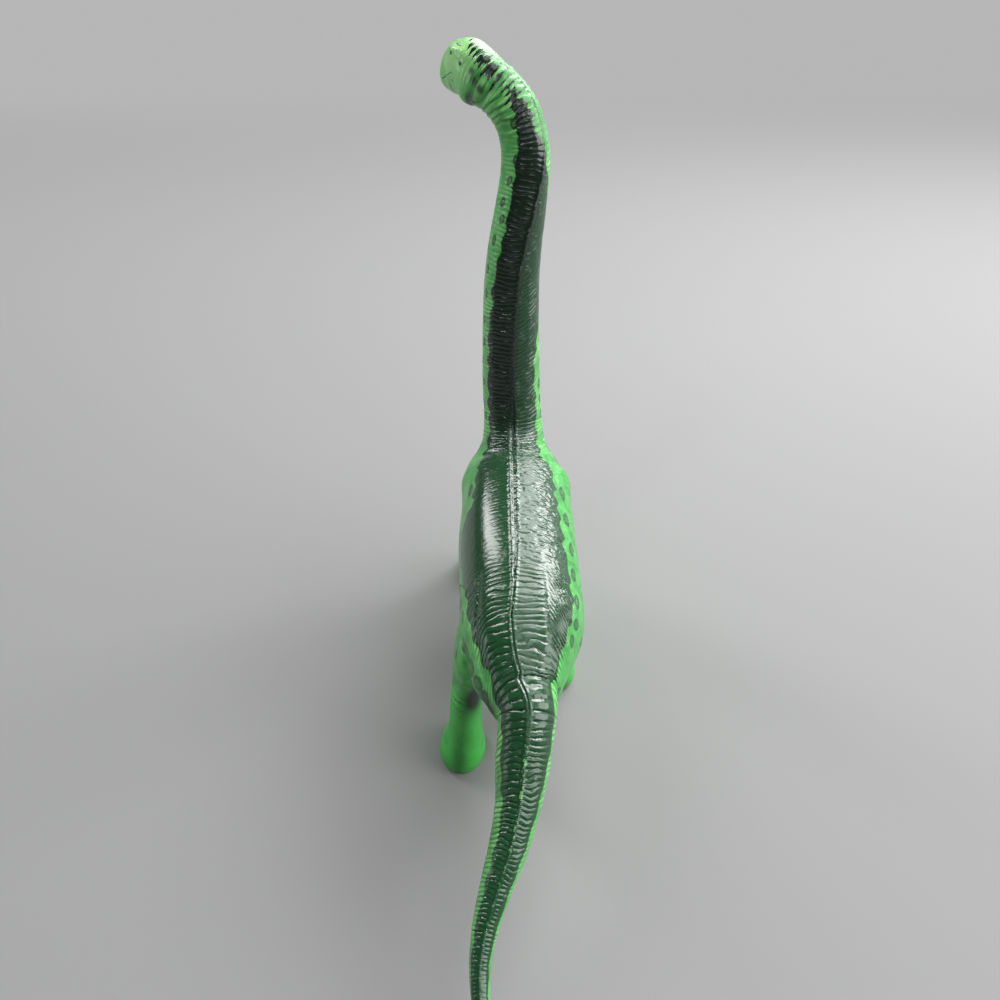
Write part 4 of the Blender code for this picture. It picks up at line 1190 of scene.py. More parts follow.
def torso_cutters(hand):
    """A torso half's hollow, leg pockets, bores, swivel rooms and screw holes."""
    hollow = hollow_form(past(TAIL_CUT, HOLLOW_SETBACK), past(NECK_CUT, -HOLLOW_SETBACK))
    for pair in (HIND, FRONT):
        for side in HANDS.values():
            radius = pair.radius + CLEARANCE + WALL
            boolean(hollow, arch("cup", pair, side, DISC_FACE_X - CLEARANCE - WALL, radius))
    cutters = [hollow]
    outward = Vector((hand, 0.0, 0.0))
    for pair in (HIND, FRONT):
        cutters.append(arch("pocket", pair, hand, DISC_FACE_X - CLEARANCE, pair.radius + CLEARANCE))
        cutters.append(rod("bore", pair.centre, outward, 0.0, FLANK_REACH, STUD_RADIUS + CLEARANCE))
    return cutters + swivel_cutters(*NECK_SWIVEL) + swivel_cutters(*TAIL_SWIVEL) + screw_cutters()


def make_torso(material):
    """The two torso shells."""
    for item, hand, node in half_pieces("torso", TAIL_CUT, NECK_CUT, ALONG_STEP, TRUNK_SIDES):
        cut(item, torso_cutters(hand))
        colour_points(item)
        finish_skin(item, material, "torso", node, SHELL_EDGE)


def make_neck(material):
    """The two neck shells."""
    start = past(NECK_CUT, SEAM_GAP)
    first, last = past(NECK_CUT, HOLLOW_SETBACK), past(HEAD_CUT, -NECK_SOLID_END)
    for item, _, node in half_pieces("neck", start, HEAD_CUT, ALONG_STEP, NECK_SIDES):
        cut(item, [hollow_form(first, last), *swivel_cutters(*NECK_SWIVEL), *swivel_cutters(*HEAD_SWIVEL)])
        colour_points(item)
        finish_skin(item, material, "neck", node, SHELL_EDGE)


def make_tail(material):
    """The two tail shells and the soft tip."""
    end = past(TAIL_CUT, -SEAM_GAP)
    first, last = past(TIP_CUT, TAIL_SOLID_END), past(TAIL_CUT, -HOLLOW_SETBACK)
    centre, _, _, forward = frame_at(TIP_CUT)
    depth = TIP_PEG_LENGTH + CLEARANCE
    for item, _, node in half_pieces("tail", TIP_CUT, end, TAIL_ALONG_STEP, TAIL_SIDES):
        peg_bore = rod("peg_bore", centre, forward, -EMBED, depth, TIP_PEG_RADIUS + CLEARANCE)
        cut(item, [hollow_form(first, last, WALL), *swivel_cutters(*TAIL_SWIVEL), peg_bore])
        colour_points(item)
        finish_skin(item, material, "tail", node, SHELL_EDGE)
    tip = whole_piece("tail_tip_skin", 0.0, past(TIP_CUT, -SEAM_GAP), TAIL_ALONG_STEP, TAIL_SIDES)
    peg = rod("peg", centre, forward, -EMBED - SEAM_GAP, TIP_PEG_LENGTH, TIP_PEG_RADIUS)
    boolean(tip, peg, "UNION")
    colour_points(tip)
    finish_skin(tip, material, "tail", "tail_tip", SHELL_EDGE)


def leg_rows(pair, hand, step):
    """Smooth leg rows: centre x, centre y, height, half width and half length."""
    shares = np.array(pair.rows)
    stride, splay = step
    rows = smooth_rows(shares, np.linspace(0.0, len(shares) - 1.0, LEG_RINGS))
    height, progress, inner, outer, half_length = rows.T
    lean = progress * (1.0 - height)
    inside = DISC_FACE_X + inner * pair.width + max(0.0, splay) * lean
    outside = DISC_FACE_X + outer * pair.width + splay * lean
    return np.stack([
        BASE.x + hand * (inside + outside) / 2.0,
        pair.centre.y + progress * stride,
        height * pair.centre.z,
        (outside - inside) / 2.0,
        half_length * pair.depth,
    ], axis=1)


def leg_column(name, rows):
    """The plain column of a leg."""
    angles = 2.0 * pi * np.arange(LEG_SIDES) / LEG_SIDES
    return grid_object(name, np.stack([
        rows[:, None, 0] + np.cos(angles)[None, :] * rows[:, None, 3],
        rows[:, None, 1] + np.sin(angles)[None, :] * rows[:, None, 4],
        np.broadcast_to(rows[:, None, 2], (len(rows), LEG_SIDES)),
    ], axis=-1))


def ellipsoid(name, centre, radii):
    """A closed rounded lump."""
    build = bmesh.new()
    bmesh.ops.create_icosphere(build, subdivisions=4, radius=1.0)
    matrix = Matrix.Translation(centre) @ Matrix.Diagonal((*radii, 1.0))
    bmesh.ops.transform(build, matrix=matrix, verts=build.verts)
    mesh = bpy.data.meshes.new(name)
    build.to_mesh(mesh)
    build.free()
    return new_object(name, mesh)


def join(items):
    """Join meshes into the first one."""
    build = bmesh.new()
    for item in items:
        build.from_mesh(item.data)
    mesh = bpy.data.meshes.new(items[0].name)
    build.to_mesh(mesh)
    build.free()
    items[0].data = mesh
    for item in items[1:]:
        bpy.data.objects.remove(item, do_unlink=True)
    return items[0]


def remesh(item, voxel):
    """Fuse overlapping lumps into one even skin."""
    modifier = item.modifiers.new("fuse", "REMESH")
    modifier.mode = "VOXEL"
    modifier.voxel_size = voxel
    bake_modifiers(item)


def relax(item, weights, rounds):
    """Smooth a mesh where the weights say."""
    group = item.vertex_groups.new(name="relax")
    for index, weight in enumerate(weights.tolist()):
        if weight > 0.0:
            group.add([index], weight, "REPLACE")
    modifier = item.modifiers.new("relax", "SMOOTH")
    modifier.factor = 0.5
    modifier.iterations = rounds
    modifier.vertex_group = "relax"
    bake_modifiers(item)
    item.vertex_groups.clear()


# Muscles of a leg: how far ahead as a share of the half length there, outward as a share of the
# leg's width, height as a share of the axis height, then half sizes across, along and up as
# shares of the leg's width, its depth and the axis height.
HIND_MUSCLE_SHARES = [
    (-0.70, 0.45, 0.96, 0.40, 0.50, 0.20),
    (0.48, 0.52, 0.88, 0.36, 0.42, 0.17),
    (0.34, 0.64, 0.60, 0.36, 0.33, 0.13),
]
FRONT_MUSCLE_SHARES = [
    (-0.70, 0.50, 0.96, 0.42, 0.50, 0.18),
    (0.60, 0.52, 0.90, 0.42, 0.47, 0.19),
    (-0.60, 0.58, 0.60, 0.38, 0.34, 0.11),
]
# The two pairs of legs: axis in the middle plane, radius of the disc, width and depth of the leg,
# rows of the leg and of its muscles
LegPair = namedtuple("LegPair", "centre radius width depth rows muscles")
HIND = LegPair(
    HIP, HIP_DISC_RADIUS, HIND_LEG_WIDTH, HIND_LEG_DEPTH,
    HIND_LEG_ROW_SHARES, HIND_MUSCLE_SHARES,
)
FRONT = LegPair(
    SHOULDER, SHOULDER_DISC_RADIUS, FRONT_LEG_WIDTH, FRONT_LEG_DEPTH,
    FRONT_LEG_ROW_SHARES, FRONT_MUSCLE_SHARES,
)
# Heights of knee or elbow and of the heel's line, as shares of the axis height
KNEE_SHARE = 0.66
HEEL_SHARE = 0.20
TOE_REACH_SHARE = 0.84
TOE_SIZE_SHARES = (0.36, 0.42, 0.34)
TOE_SPREAD = radians(46)


def toes(foot):
    """Toe lumps round the front of a foot."""
    x, y, _, half_width, half_length = foot
    sizes = [share * half_width for share in TOE_SIZE_SHARES]
    lumps = []
    for k in (-1.0, 0.0, 1.0):
        angle = pi / 2.0 + k * TOE_SPREAD
        centre = Vector((
            x + cos(angle) * half_width * TOE_REACH_SHARE,
            y + sin(angle) * half_length * TOE_REACH_SHARE,
            sizes[2],
        ))
        lumps.append(ellipsoid("toe", centre, sizes))
    return lumps


def muscles(pair, hand, rows):
    """Thigh and knee, or shoulder and elbow."""
    lumps = []
    for ahead, out, height, across, along, up in pair.muscles:
        index = int(np.argmin(np.abs(rows[:, 2] - height * pair.centre.z)))
        middle = Vector((
            BASE.x + hand * (DISC_FACE_X + out * pair.width),
            rows[index, 1] + ahead * rows[index, 4],
            height * pair.centre.z,
        ))
        radii = (across * pair.width, along * pair.depth, up * pair.centre.z)
        lumps.append(ellipsoid("muscle", middle, radii))
    return lumps


def make_leg(material, name, pair, hand):
    """A leg with its flank disc, stud, thigh, folds and toes."""
    rows = leg_rows(pair, hand, STRIDES[name])
    column = leg_column(name + "_skin", rows)
    outward = Vector((hand, 0.0, 0.0))
    axis_point = Vector((BASE.x, pair.centre.y, pair.centre.z))
    places = np.linspace(TAIL_CUT, NECK_CUT, FLANK_RINGS)
    flank = grid_object("flank", ring_grid(places, ring_angles(FLANK_SIDES)))
    patch = rod("patch", axis_point, outward, DISC_FACE_X - EMBED, FLANK_REACH, pair.radius + EMBED)
    boolean(patch, flank, "INTERSECT")
    blank = join([column, patch, *toes(rows[-1]), *muscles(pair, hand, rows)])
    remesh(blank, LEG_VOXEL)
    relax(blank, smooth_step(0.0006, 0.0050, coordinates(blank)[:, 2]), LEG_SMOOTHINGS)
    shape_leg(blank, pair, hand, rows)
    boolean(blank, swing_room(pair, hand), "INTERSECT")
    stud = rod("stud", axis_point, outward, DISC_FACE_X - STUD_REACH, DISC_FACE_X + EMBED, STUD_RADIUS)
    boolean(blank, stud, "UNION")
    paint_leg(blank, pair, hand, rows)
    finish_skin(blank, material, name, name, LIMB_EDGE)


def swing_room(pair, hand):
    """What a leg may fill: its round disc against the flank, and all the room below the belly."""
    axis_point = Vector((BASE.x, pair.centre.y, pair.centre.z))
    outward = Vector((hand, 0.0, 0.0))
    room = rod("room", axis_point, outward, DISC_FACE_X, FLANK_REACH, pair.radius)
    top = pair.centre.z - pair.radius * 0.5
    rear = pair.centre.y - pair.radius * 2.5
    front = pair.centre.y + pair.radius * 2.5
    rings = []
    for distance in (DISC_FACE_X * 0.6, FLANK_REACH):
        x = BASE.x + hand * distance
        rings.append([(x, rear, -CUT_OVERRUN), (x, front, -CUT_OVERRUN), (x, front, top), (x, rear, top)])
    boolean(room, grid_object("below", np.array(rings)), "UNION")
    return room


def leg_places(points, rows):
    """Angle round the leg (0 to the right, back at -pi / 2) and the leg's mean radius there."""
    order = np.argsort(rows[:, 2])
    z = np.clip(points[:, 2], 0.0, rows[:, 2].max())
    x = np.interp(z, rows[order, 2], rows[order, 0])
    y = np.interp(z, rows[order, 2], rows[order, 1])
    half_width = np.interp(z, rows[order, 2], rows[order, 3])
    half_length = np.interp(z, rows[order, 2], rows[order, 4])
    angle = np.arctan2((points[:, 1] - y) / half_length, (points[:, 0] - x) / half_width)
    return angle, (half_width + half_length) / 2.0


LEG_RING_PITCH = 0.0013
LEG_RING_HEIGHT = 0.00016
KNEE_FOLD_PITCH = 0.0030
KNEE_FOLD_HEIGHT = 0.00060
HEEL_LINE_DEPTH = 0.00015
LEG_PEBBLE_HEIGHT = 0.00005
LEG_BULK = 0.0006


def leg_folds(points, top, hand, rows):
    """Height of the rings down a leg and of the deeper folds at its knee."""
    angle, radius = leg_places(points, rows)
    around = angle * radius
    z = points[:, 2]
    bend = noise("leg_bend", around, z)
    phase = z / LEG_RING_PITCH + 0.9 * bend + 0.5 * np.sin(angle)
    ring = np.abs(np.sin(pi * phase)) ** 0.8 - 0.62
    strength = np.clip(0.6 + 0.9 * noise("leg_strength", around, z), 0.0, 1.5)
    folds = LEG_RING_HEIGHT * ring * strength
    knee = np.exp(-((z - KNEE_SHARE * top) / 0.007) ** 2)
    phase = z / KNEE_FOLD_PITCH + 0.4 * bend - 0.8 * hand * np.cos(angle)
    deep = np.abs(np.sin(pi * phase)) ** 0.6 - 0.7
    folds = folds + KNEE_FOLD_HEIGHT * deep * knee * smooth_step(-0.2, 0.5, hand * np.cos(angle))
    heel = np.exp(-((z - HEEL_SHARE * top) / 0.0012) ** 2)
    return folds - HEEL_LINE_DEPTH * heel * smooth_step(0.75, 0.95, np.abs(np.cos(angle)))


def shape_leg(item, pair, hand, rows):
    """Raise ribs on the flank disc, and folds and pebbles down the leg."""
    points = coordinates(item)
    normals = point_normals(item)
    top = pair.centre.z
    places, along, across, girth = skin_places(points)
    on_flank = smooth_step(0.64, 0.80, points[:, 2] / top)
    outside = smooth_step(0.2, 0.6, np.abs(normals[:, 0]) + np.abs(normals[:, 2]))
    flank_height = relief(places, along, across, girth) * on_flank * outside
    angle, radius = leg_places(points, rows)
    z = points[:, 2]
    folds = leg_folds(points, top, hand, rows)
    pebbles = LEG_PEBBLE_HEIGHT * noise("leg_pebbles", angle * radius, z)
    leg_height = (folds + pebbles) * (1.0 - on_flank) * smooth_step(0.0006, 0.003, z)
    bulk = LEG_BULK * between(z / top, 0.02, 0.12, 0.55, 0.72)
    moved = points + normals * (flank_height + leg_height + bulk)[:, None]
    moved[:, 2] = np.maximum(moved[:, 2], 0.0)
    item.data.vertices.foreach_set("co", moved.reshape(-1))
    item.data.update()


def paint_leg(item, pair, hand, rows):
    """Paint places of a leg: the flank's own above; below, a soft dark streak down the back, painted shade
    in the pit behind the knee and painted light low on the leg.
    """
    points = coordinates(item)
    top = pair.centre.z
    height = points[:, 2] / top
    angle, radius = leg_places(points, rows)
    below = 1.0 - smooth_step(0.50, 0.74, height)
    lines = noise("leg_streak", angle * radius, points[:, 2])
    rear = np.exp(-((np.abs(angle + pi / 2.0 - 0.15 * hand) + 0.18 * lines) / 0.46) ** 2)
    low = 0.75 + 0.35 * smooth_step(0.45, 0.10, height)
    # Painted shade in the pit behind the knee, under the thigh, partly airbrushed paint
    inner = np.exp(-((angle + pi / 2.0 + 0.60 * hand) / 0.70) ** 2)
    knee_shade = 2.2 * inner * np.exp(-((points[:, 2] - KNEE_SHARE * top) / 0.0056) ** 2)
    streak_and_shade = np.clip(below * 0.95 * rear * low + knee_shade, 0.0, 1.60)
    places, along, across, girth = colour_points(item, streak_and_shade=streak_and_shade)
    shank = smooth_step(0.72, 0.62, height)
    # Fold heights of the shank, which the paint turns into painted highlight and painted shade
    crease = ribs(places, along, across, girth) * (1.0 - shank)
    crease = crease + 0.9 * leg_folds(points, top, hand, rows) * shank
    store(item, "crease", crease * MILLIMETRES)
    # Painted light: how far the lower leg takes the brighter green that stands in for light from behind
    store(item, "shank", 0.75 * shank)
    saddle = saddle_depth(places, along, across, girth) * MILLIMETRES
    store(item, "saddle", np.where(height > 0.72, saddle, NO_SADDLE))
    spot = spot_depth(places, along, across, girth)
    store(item, "spot", np.where(height > 0.62, spot, FAR_OUTSIDE))


def make_legs(material):
    """All four legs."""
    for pair_word, pair in (("front", FRONT), ("hind", HIND)):
        for word, hand in HANDS.items():
            make_leg(material, "%s_%s_leg" % (pair_word, word), pair, hand)


def make_head(material):
    """The skull and the lower jaw."""
    start = past(HEAD_CUT, SEAM_GAP)
    head = whole_piece("head_skin", start, SNOUT, ALONG_STEP, NECK_SIDES)
    jaw = whole_piece("lower_jaw_skin", start, SNOUT, ALONG_STEP, NECK_SIDES)
    boolean(head, jaw_block(CLEARANCE))
    boolean(jaw, jaw_block(0.0), "INTERSECT")
    # The cavity on the neck's side has nothing to cut here
    bore, spare, cavity = swivel_cutters(*HEAD_SWIVEL)
    bpy.data.objects.remove(spare, do_unlink=True)
    cut(head, [bore, cavity])
    for item, node in ((head, "head"), (jaw, "lower_jaw")):
        colour_points(item)
        finish_skin(item, material, "head", node, LIMB_EDGE)


def jaw_block(growth):
    """Everything below the mouth line."""
    centre, side, back, forward = frame_at(MUZZLE)
    root = Vector(rows_at(np.array([HEAD_CUT]))[0, :3])
    setback = JAW_SETBACK - (centre - root).dot(forward) - growth
    half = HEAD_HALF_WIDTH + CUT_OVERRUN
    top = growth - MOUTH_DROP
    rings = []
    for along in (setback, HEAD_LENGTH):
        middle = centre + forward * along
        rings.append([
            middle - side * half + back * top,
            middle + side * half + back * top,
            middle + side * half - back * half,
            middle - side * half - back * half,
        ])
    return grid_object("jaw_block", np.array(rings))


class DinoPaint(bpy.types.PropertyGroup):
    """Colours of the paints."""

    lime: FloatVectorProperty(
        name="Light green",
        description="Colour of the moulded plastic on sides, legs and head",
        subtype="COLOR",
        size=4,
        default=(0.052, 0.375, 0.066, 1.0),
    )
    # On raised parts this pale green is painted highlight on the crests of ribs and folds
    pale: FloatVectorProperty(
        name="Pale green",
        description="Colour of the raised parts of the light skin and of the face",
        subtype="COLOR",
        size=4,
        default=(0.300, 0.70, 0.235, 1.0),
    )
    dark: FloatVectorProperty(
        name="Dark green",
        description="Colour of the painted back",
        subtype="COLOR",
        size=4,
        default=(0.0015, 0.014, 0.005, 1.0),
    )
    # Painted light: a brighter green low on the legs, for the light that falls on them from behind
    lit_leg_green: FloatVectorProperty(
        name="Fresh green",
        description="Colour of the plastic low on the legs",
        subtype="COLOR",
        size=4,
        default=(0.044, 0.49, 0.056, 1.0),
    )
    # Painted light: a lighter green for the dark back on the trunk, the tail and the right of the neck,
    # where light falls
    lit: FloatVectorProperty(
        name="Thin dark green",
        description="Colour of the dark paint where it lies thin, on the trunk and the tail",
        subtype="COLOR",
        size=4,
        default=(0.011, 0.073, 0.023, 1.0),
    )
    gloss: FloatProperty(
        name="Back roughness",
        description="Roughness of the painted back",
        default=0.20,
        min=0.02,
        max=0.8,
    )


class DinoStage(bpy.types.PropertyGroup):
    """Camera and light."""

    lens: FloatProperty(
        name="Lens",
        description="Camera lens for a 36 mm sensor, in mm",
        default=28.08,
    )
    pitch: FloatProperty(
        name="Pitch",
        description="How far the camera looks down",
        default=radians(39.0),
        subtype="ANGLE",
    )
    place: FloatVectorProperty(
        name="Camera place",
        description="Where the camera stands",
        default=(-0.0048, -0.2085, 0.300),
        subtype="TRANSLATION",
        unit="LENGTH",
    )
    lamp_level: FloatProperty(name="Lamps", description="Level of all lamps", default=1.0, min=0.0)
    world_strength: FloatProperty(
        name="Room light",
        description="Strength of the even light",
        default=0.12,
    )


class Nodes:
    """Short calls for building a material."""

    def __init__(self, name):
        self.material = bpy.data.materials.new(name)
        self.material.use_nodes = True
        self.tree = self.material.node_tree
        self.shader = self.tree.nodes["Principled BSDF"]

    def add(self, kind, **settings):
        node = self.tree.nodes.new(kind)
        for key, value in settings.items():
            setattr(node, key, value)
        return node

    def link(self, source, target):
        self.tree.links.new(source, target)

    def attribute(self, name):
        return self.add("ShaderNodeAttribute", attribute_name=name).outputs["Fac"]

    def noise(self, scale, detail, vector=None):
        node = self.add("ShaderNodeTexNoise")
        node.inputs["Scale"].default_value = scale
        node.inputs["Detail"].default_value = detail
        if vector is not None:
            self.link(vector, node.inputs["Vector"])
        return node.outputs["Fac"]

    def math(self, operation, first, second=0.0):
        node = self.add("ShaderNodeMath", operation=operation)
        for socket, value in zip(node.inputs, (first, second)):
            if isinstance(value, (int, float)):
                socket.default_value = value
            else:
                self.link(value, socket)
        return node.outputs[0]

    def ramp(self, value, low, high, out_low=0.0, out_high=1.0, smooth=True):
        node = self.add("ShaderNodeMapRange")
        node.interpolation_type = "SMOOTHSTEP" if smooth else "LINEAR"
        self.link(value, node.inputs["Value"])
        node.inputs["From Min"].default_value = low
        node.inputs["From Max"].default_value = high
        node.inputs["To Min"].default_value = out_low
        node.inputs["To Max"].default_value = out_high
        return node.outputs["Result"]

    def mix(self, factor, first, second):
        node = self.add("ShaderNodeMix", data_type="RGBA")
        self.link(factor, node.inputs["Factor"])
        for socket, value in ((node.inputs["A"], first), (node.inputs["B"], second)):
            if hasattr(value, "is_linked"):
                self.link(value, socket)
            else:
                socket.default_value = value
        return node.outputs["Result"]

    def bump(self, height, distance, strength):
        node = self.add("ShaderNodeBump")
        node.inputs["Distance"].default_value = distance
        node.inputs["Strength"].default_value = strength
        self.link(height, node.inputs["Height"])
        self.link(node.outputs["Normal"], self.shader.inputs["Normal"])


# Scales of the noises in the paints, in waves per metre
FRAY_SCALE = 900.0
CLOUD_SCALE = 130.0
SPECK_SCALE = 700.0
SKIN_GRAIN_SCALE = 2600.0
SKIN_ROUGHNESS = 0.38


def darker(colour, share):
    """A colour with each part scaled by a share."""
    return tuple(share * value for value in colour[:3]) + (1.0,)


def skin_paint(paint):
    """Light plastic with the dark gloss back, dark spots and a soft dark streak, with painted light: paler
    crests, darker valleys, painted shade in hollows, a lighter dark back where light falls and a brighter
    lower leg.
    """
    nodes = Nodes("skin_paint")
    where = nodes.add("ShaderNodeTexCoord").outputs["Object"]
    fray = nodes.math("SUBTRACT", nodes.noise(FRAY_SCALE, 3.0, where), 0.5)
    cloud = nodes.noise(CLOUD_SCALE, 3.0, where)
    crease = nodes.attribute("crease")
    # Painted highlight: crests of ribs and folds lighten towards pale green
    raised = nodes.ramp(nodes.math("ADD", crease, nodes.math("MULTIPLY", cloud, 0.25)), 0.08, 0.42)
    light = nodes.mix(raised, tuple(paint.lime), tuple(paint.pale))
    deep = darker(paint.lime, 0.45)
    light = nodes.mix(nodes.ramp(cloud, 0.30, 0.52, 0.50, 0.0), light, deep)
    # Painted light: a brighter green low on the legs
    light = nodes.mix(nodes.attribute("shank"), light, tuple(paint.lit_leg_green))
    # Painted shade: the valleys between ribs and folds darken
    light = nodes.mix(nodes.ramp(crease, -0.24, -0.03, 0.85, 0.0), light, deep)
    light = nodes.mix(nodes.attribute("face"), light, tuple(paint.pale))
    edge = nodes.math("ADD", nodes.attribute("saddle"), nodes.math("MULTIPLY", fray, 0.9))
    saddle = nodes.ramp(edge, -0.30, 0.45)
    rim = nodes.math("ADD", nodes.attribute("spot"), nodes.math("MULTIPLY", fray, 0.5))
    spot = nodes.ramp(rim, -0.04, 0.16)
    centre = nodes.ramp(rim, 0.35, 0.70, 0.88, 0.62)
    spot = nodes.math("MULTIPLY", spot, centre)
    # Dark patches: the airbrushed streak down the legs, and painted shade under the jaw, below the thigh
    # and behind the knee
    streak_and_shade = nodes.math("MULTIPLY", nodes.attribute("streak_and_shade"), 0.60)
    body = nodes.mix(streak_and_shade, light, tuple(paint.dark))
    dark = nodes.math("MAXIMUM", saddle, spot)
    dark = nodes.math("MAXIMUM", dark, nodes.ramp(nodes.attribute("mark"), -0.10, 0.25))
    # Painted light on the dark back: lighter where light falls, and lighter on rib crests than in their
    # valleys
    crest_light = nodes.ramp(crease, -0.14, 0.20, 0.55, 1.0)
    lit_share = nodes.math("MULTIPLY", nodes.attribute("lit"), crest_light)
    back_colour = nodes.mix(lit_share, tuple(paint.dark), tuple(paint.lit))
    # Pale specks along the crest of the tail
    speck = nodes.ramp(nodes.noise(SPECK_SCALE, 3.0, where), 0.44, 0.64)
    bare = nodes.math("MULTIPLY", nodes.attribute("crest"), speck)
    back_colour = nodes.mix(nodes.ramp(bare, 0.65, 1.15, 0.0, 0.5), back_colour, tuple(paint.pale))
    colour = nodes.mix(dark, body, back_colour)
    nodes.link(colour, nodes.shader.inputs["Base Color"])
    polish = nodes.math("MULTIPLY", saddle, SKIN_ROUGHNESS - paint.gloss)
    rough = nodes.math("SUBTRACT", SKIN_ROUGHNESS, polish)
    rough = nodes.math("ADD", rough, nodes.math("MULTIPLY", nodes.math("SUBTRACT", cloud, 0.5), 0.10))
    nodes.link(rough, nodes.shader.inputs["Roughness"])
    nodes.shader.inputs["Specular IOR Level"].default_value = 0.55
    nodes.shader.inputs["Coat Weight"].default_value = 0.24
    nodes.shader.inputs["Coat Roughness"].default_value = 0.14
    nodes.bump(nodes.noise(SKIN_GRAIN_SCALE, 3.0, where), 0.00006, 0.35)
    return nodes.material


def plain_finish(name, colour, roughness, metallic, scale):
    """A plain finish with slight variation for the small inner pieces."""
    nodes = Nodes(name)
    where = nodes.add("ShaderNodeTexCoord").outputs["Object"]
    cloud = nodes.noise(scale, 4.0, where)
    nodes.link(nodes.mix(cloud, darker(colour, 0.8), colour), nodes.shader.inputs["Base Color"])
    rough = nodes.ramp(cloud, 0.2, 0.8, roughness - 0.08, roughness + 0.08)
    nodes.link(rough, nodes.shader.inputs["Roughness"])
    nodes.shader.inputs["Metallic"].default_value = metallic
    nodes.bump(nodes.noise(scale * 8.0, 2.0, where), 0.00004, 0.3)
    return nodes.material


def make_fittings():
    """Finishes for the CAD pieces that keep their own shape."""
    steel = plain_finish("screw_steel", (0.55, 0.56, 0.58, 1.0), 0.32, 1.0, 700.0)
    plastic = plain_finish("inner_plastic", (0.62, 0.64, 0.60, 1.0), 0.5, 0.0, 300.0)
    for name, item in frame["nodes"].items():
        finish = None
        if name.startswith("torso_screw"):
            finish = steel
        elif name.endswith("retainer") or name.endswith("swivel"):
            finish = plastic
        if finish is not None:
            item.data.materials.clear()
            item.data.materials.append(finish)


# Lamps: name, heading from +Y towards +X and rise in degrees, distance in metres, angular width
# and height in degrees, radiance in W/(m2 sr)
LAMP_ROWS = [
    ("left_strip", -47.0, 38.0, 1.3, 10.5, 36.0, 9.8),
    ("window", 32.0, 41.0, 1.3, 50.0, 40.0, 5.8),
    ("window_core", 54.0, 40.0, 1.25, 16.0, 22.0, 9.0),
    ("overhead", 70.0, 70.0, 1.2, 46.0, 22.0, 2.4),
    ("right_fill", 98.0, 24.0, 1.4, 38.0, 36.0, 4.4),
    ("right_low", 58.0, 8.0, 1.3, 56.0, 16.0, 1.5),
    ("back_fill", 178.0, 48.0, 1.5, 56.0, 44.0, 0.9),
    ("back_core", 142.0, 32.0, 1.25, 22.0, 12.0, 2.8),
    ("left_fill", -85.0, 12.0, 1.4, 30.0, 20.0, 1.7),
]
LAMP_TARGET = Vector((0.0, 0.03, 0.08))
# One more soft lamp for the head alone, which looks away from the others
HEAD_SPOT_PLACE = (-0.37, -0.20, 0.81)
HEAD_SPOT_TARGET = (-0.024, 0.138, 0.240)
HEAD_SPOT_WIDTH = radians(9.0)
HEAD_SPOT_RADIUS = 0.14
HEAD_SPOT_POWER = 12.0
WORLD_COLOUR = (0.96, 0.98, 1.0, 1.0)
FLOOR_SIZE = 3.0
FLOOR_COLOUR = (0.27, 0.27, 0.27, 1.0)
FAR_FLOOR_COLOUR = (0.47, 0.47, 0.47, 1.0)
FAR_FLOOR_START = 0.25
FAR_FLOOR_END = 1.3


def make_stage(look):
    """Floor, backdrop, lights and camera."""
    build = bmesh.new()
    bmesh.ops.create_grid(build, x_segments=1, y_segments=1, size=FLOOR_SIZE)
    mesh = bpy.data.meshes.new("floor")
    build.to_mesh(mesh)
    build.free()
    floor = new_object("floor", mesh)
    mesh.materials.append(floor_paper())
    world = bpy.data.worlds.new("studio")
    world.use_nodes = True
    background = world.node_tree.nodes["Background"]
    background.inputs["Color"].default_value = WORLD_COLOUR
    background.inputs["Strength"].default_value = look.world_strength
    bpy.context.scene.world = world
    for name, heading, rise, distance, width, height, radiance in LAMP_ROWS:
        turn = radians(heading)
        tilt = radians(rise)
        direction = Vector((sin(turn) * cos(tilt), cos(turn) * cos(tilt), sin(tilt)))
        size = [2.0 * distance * tan(radians(spread) / 2.0) for spread in (width, height)]
        place = LAMP_TARGET + direction * distance
        add_area(name, place, LAMP_TARGET, size, radiance * look.lamp_level)
    add_spot("head_soft", HEAD_SPOT_PLACE, HEAD_SPOT_TARGET, HEAD_SPOT_POWER * look.lamp_level)
    camera_data = bpy.data.cameras.new("camera")
    camera_data.sensor_width = 36.0
    camera_data.lens = look.lens
    camera_data.clip_start = 0.01
    camera = bpy.data.objects.new("camera", camera_data)
    camera.location = look.place
    camera.rotation_euler = (pi / 2.0 - look.pitch, 0.0, 0.0)
    bpy.context.scene.collection.objects.link(camera)
    bpy.context.scene.camera = camera
    bpy.context.scene.view_settings.view_transform = "Standard"


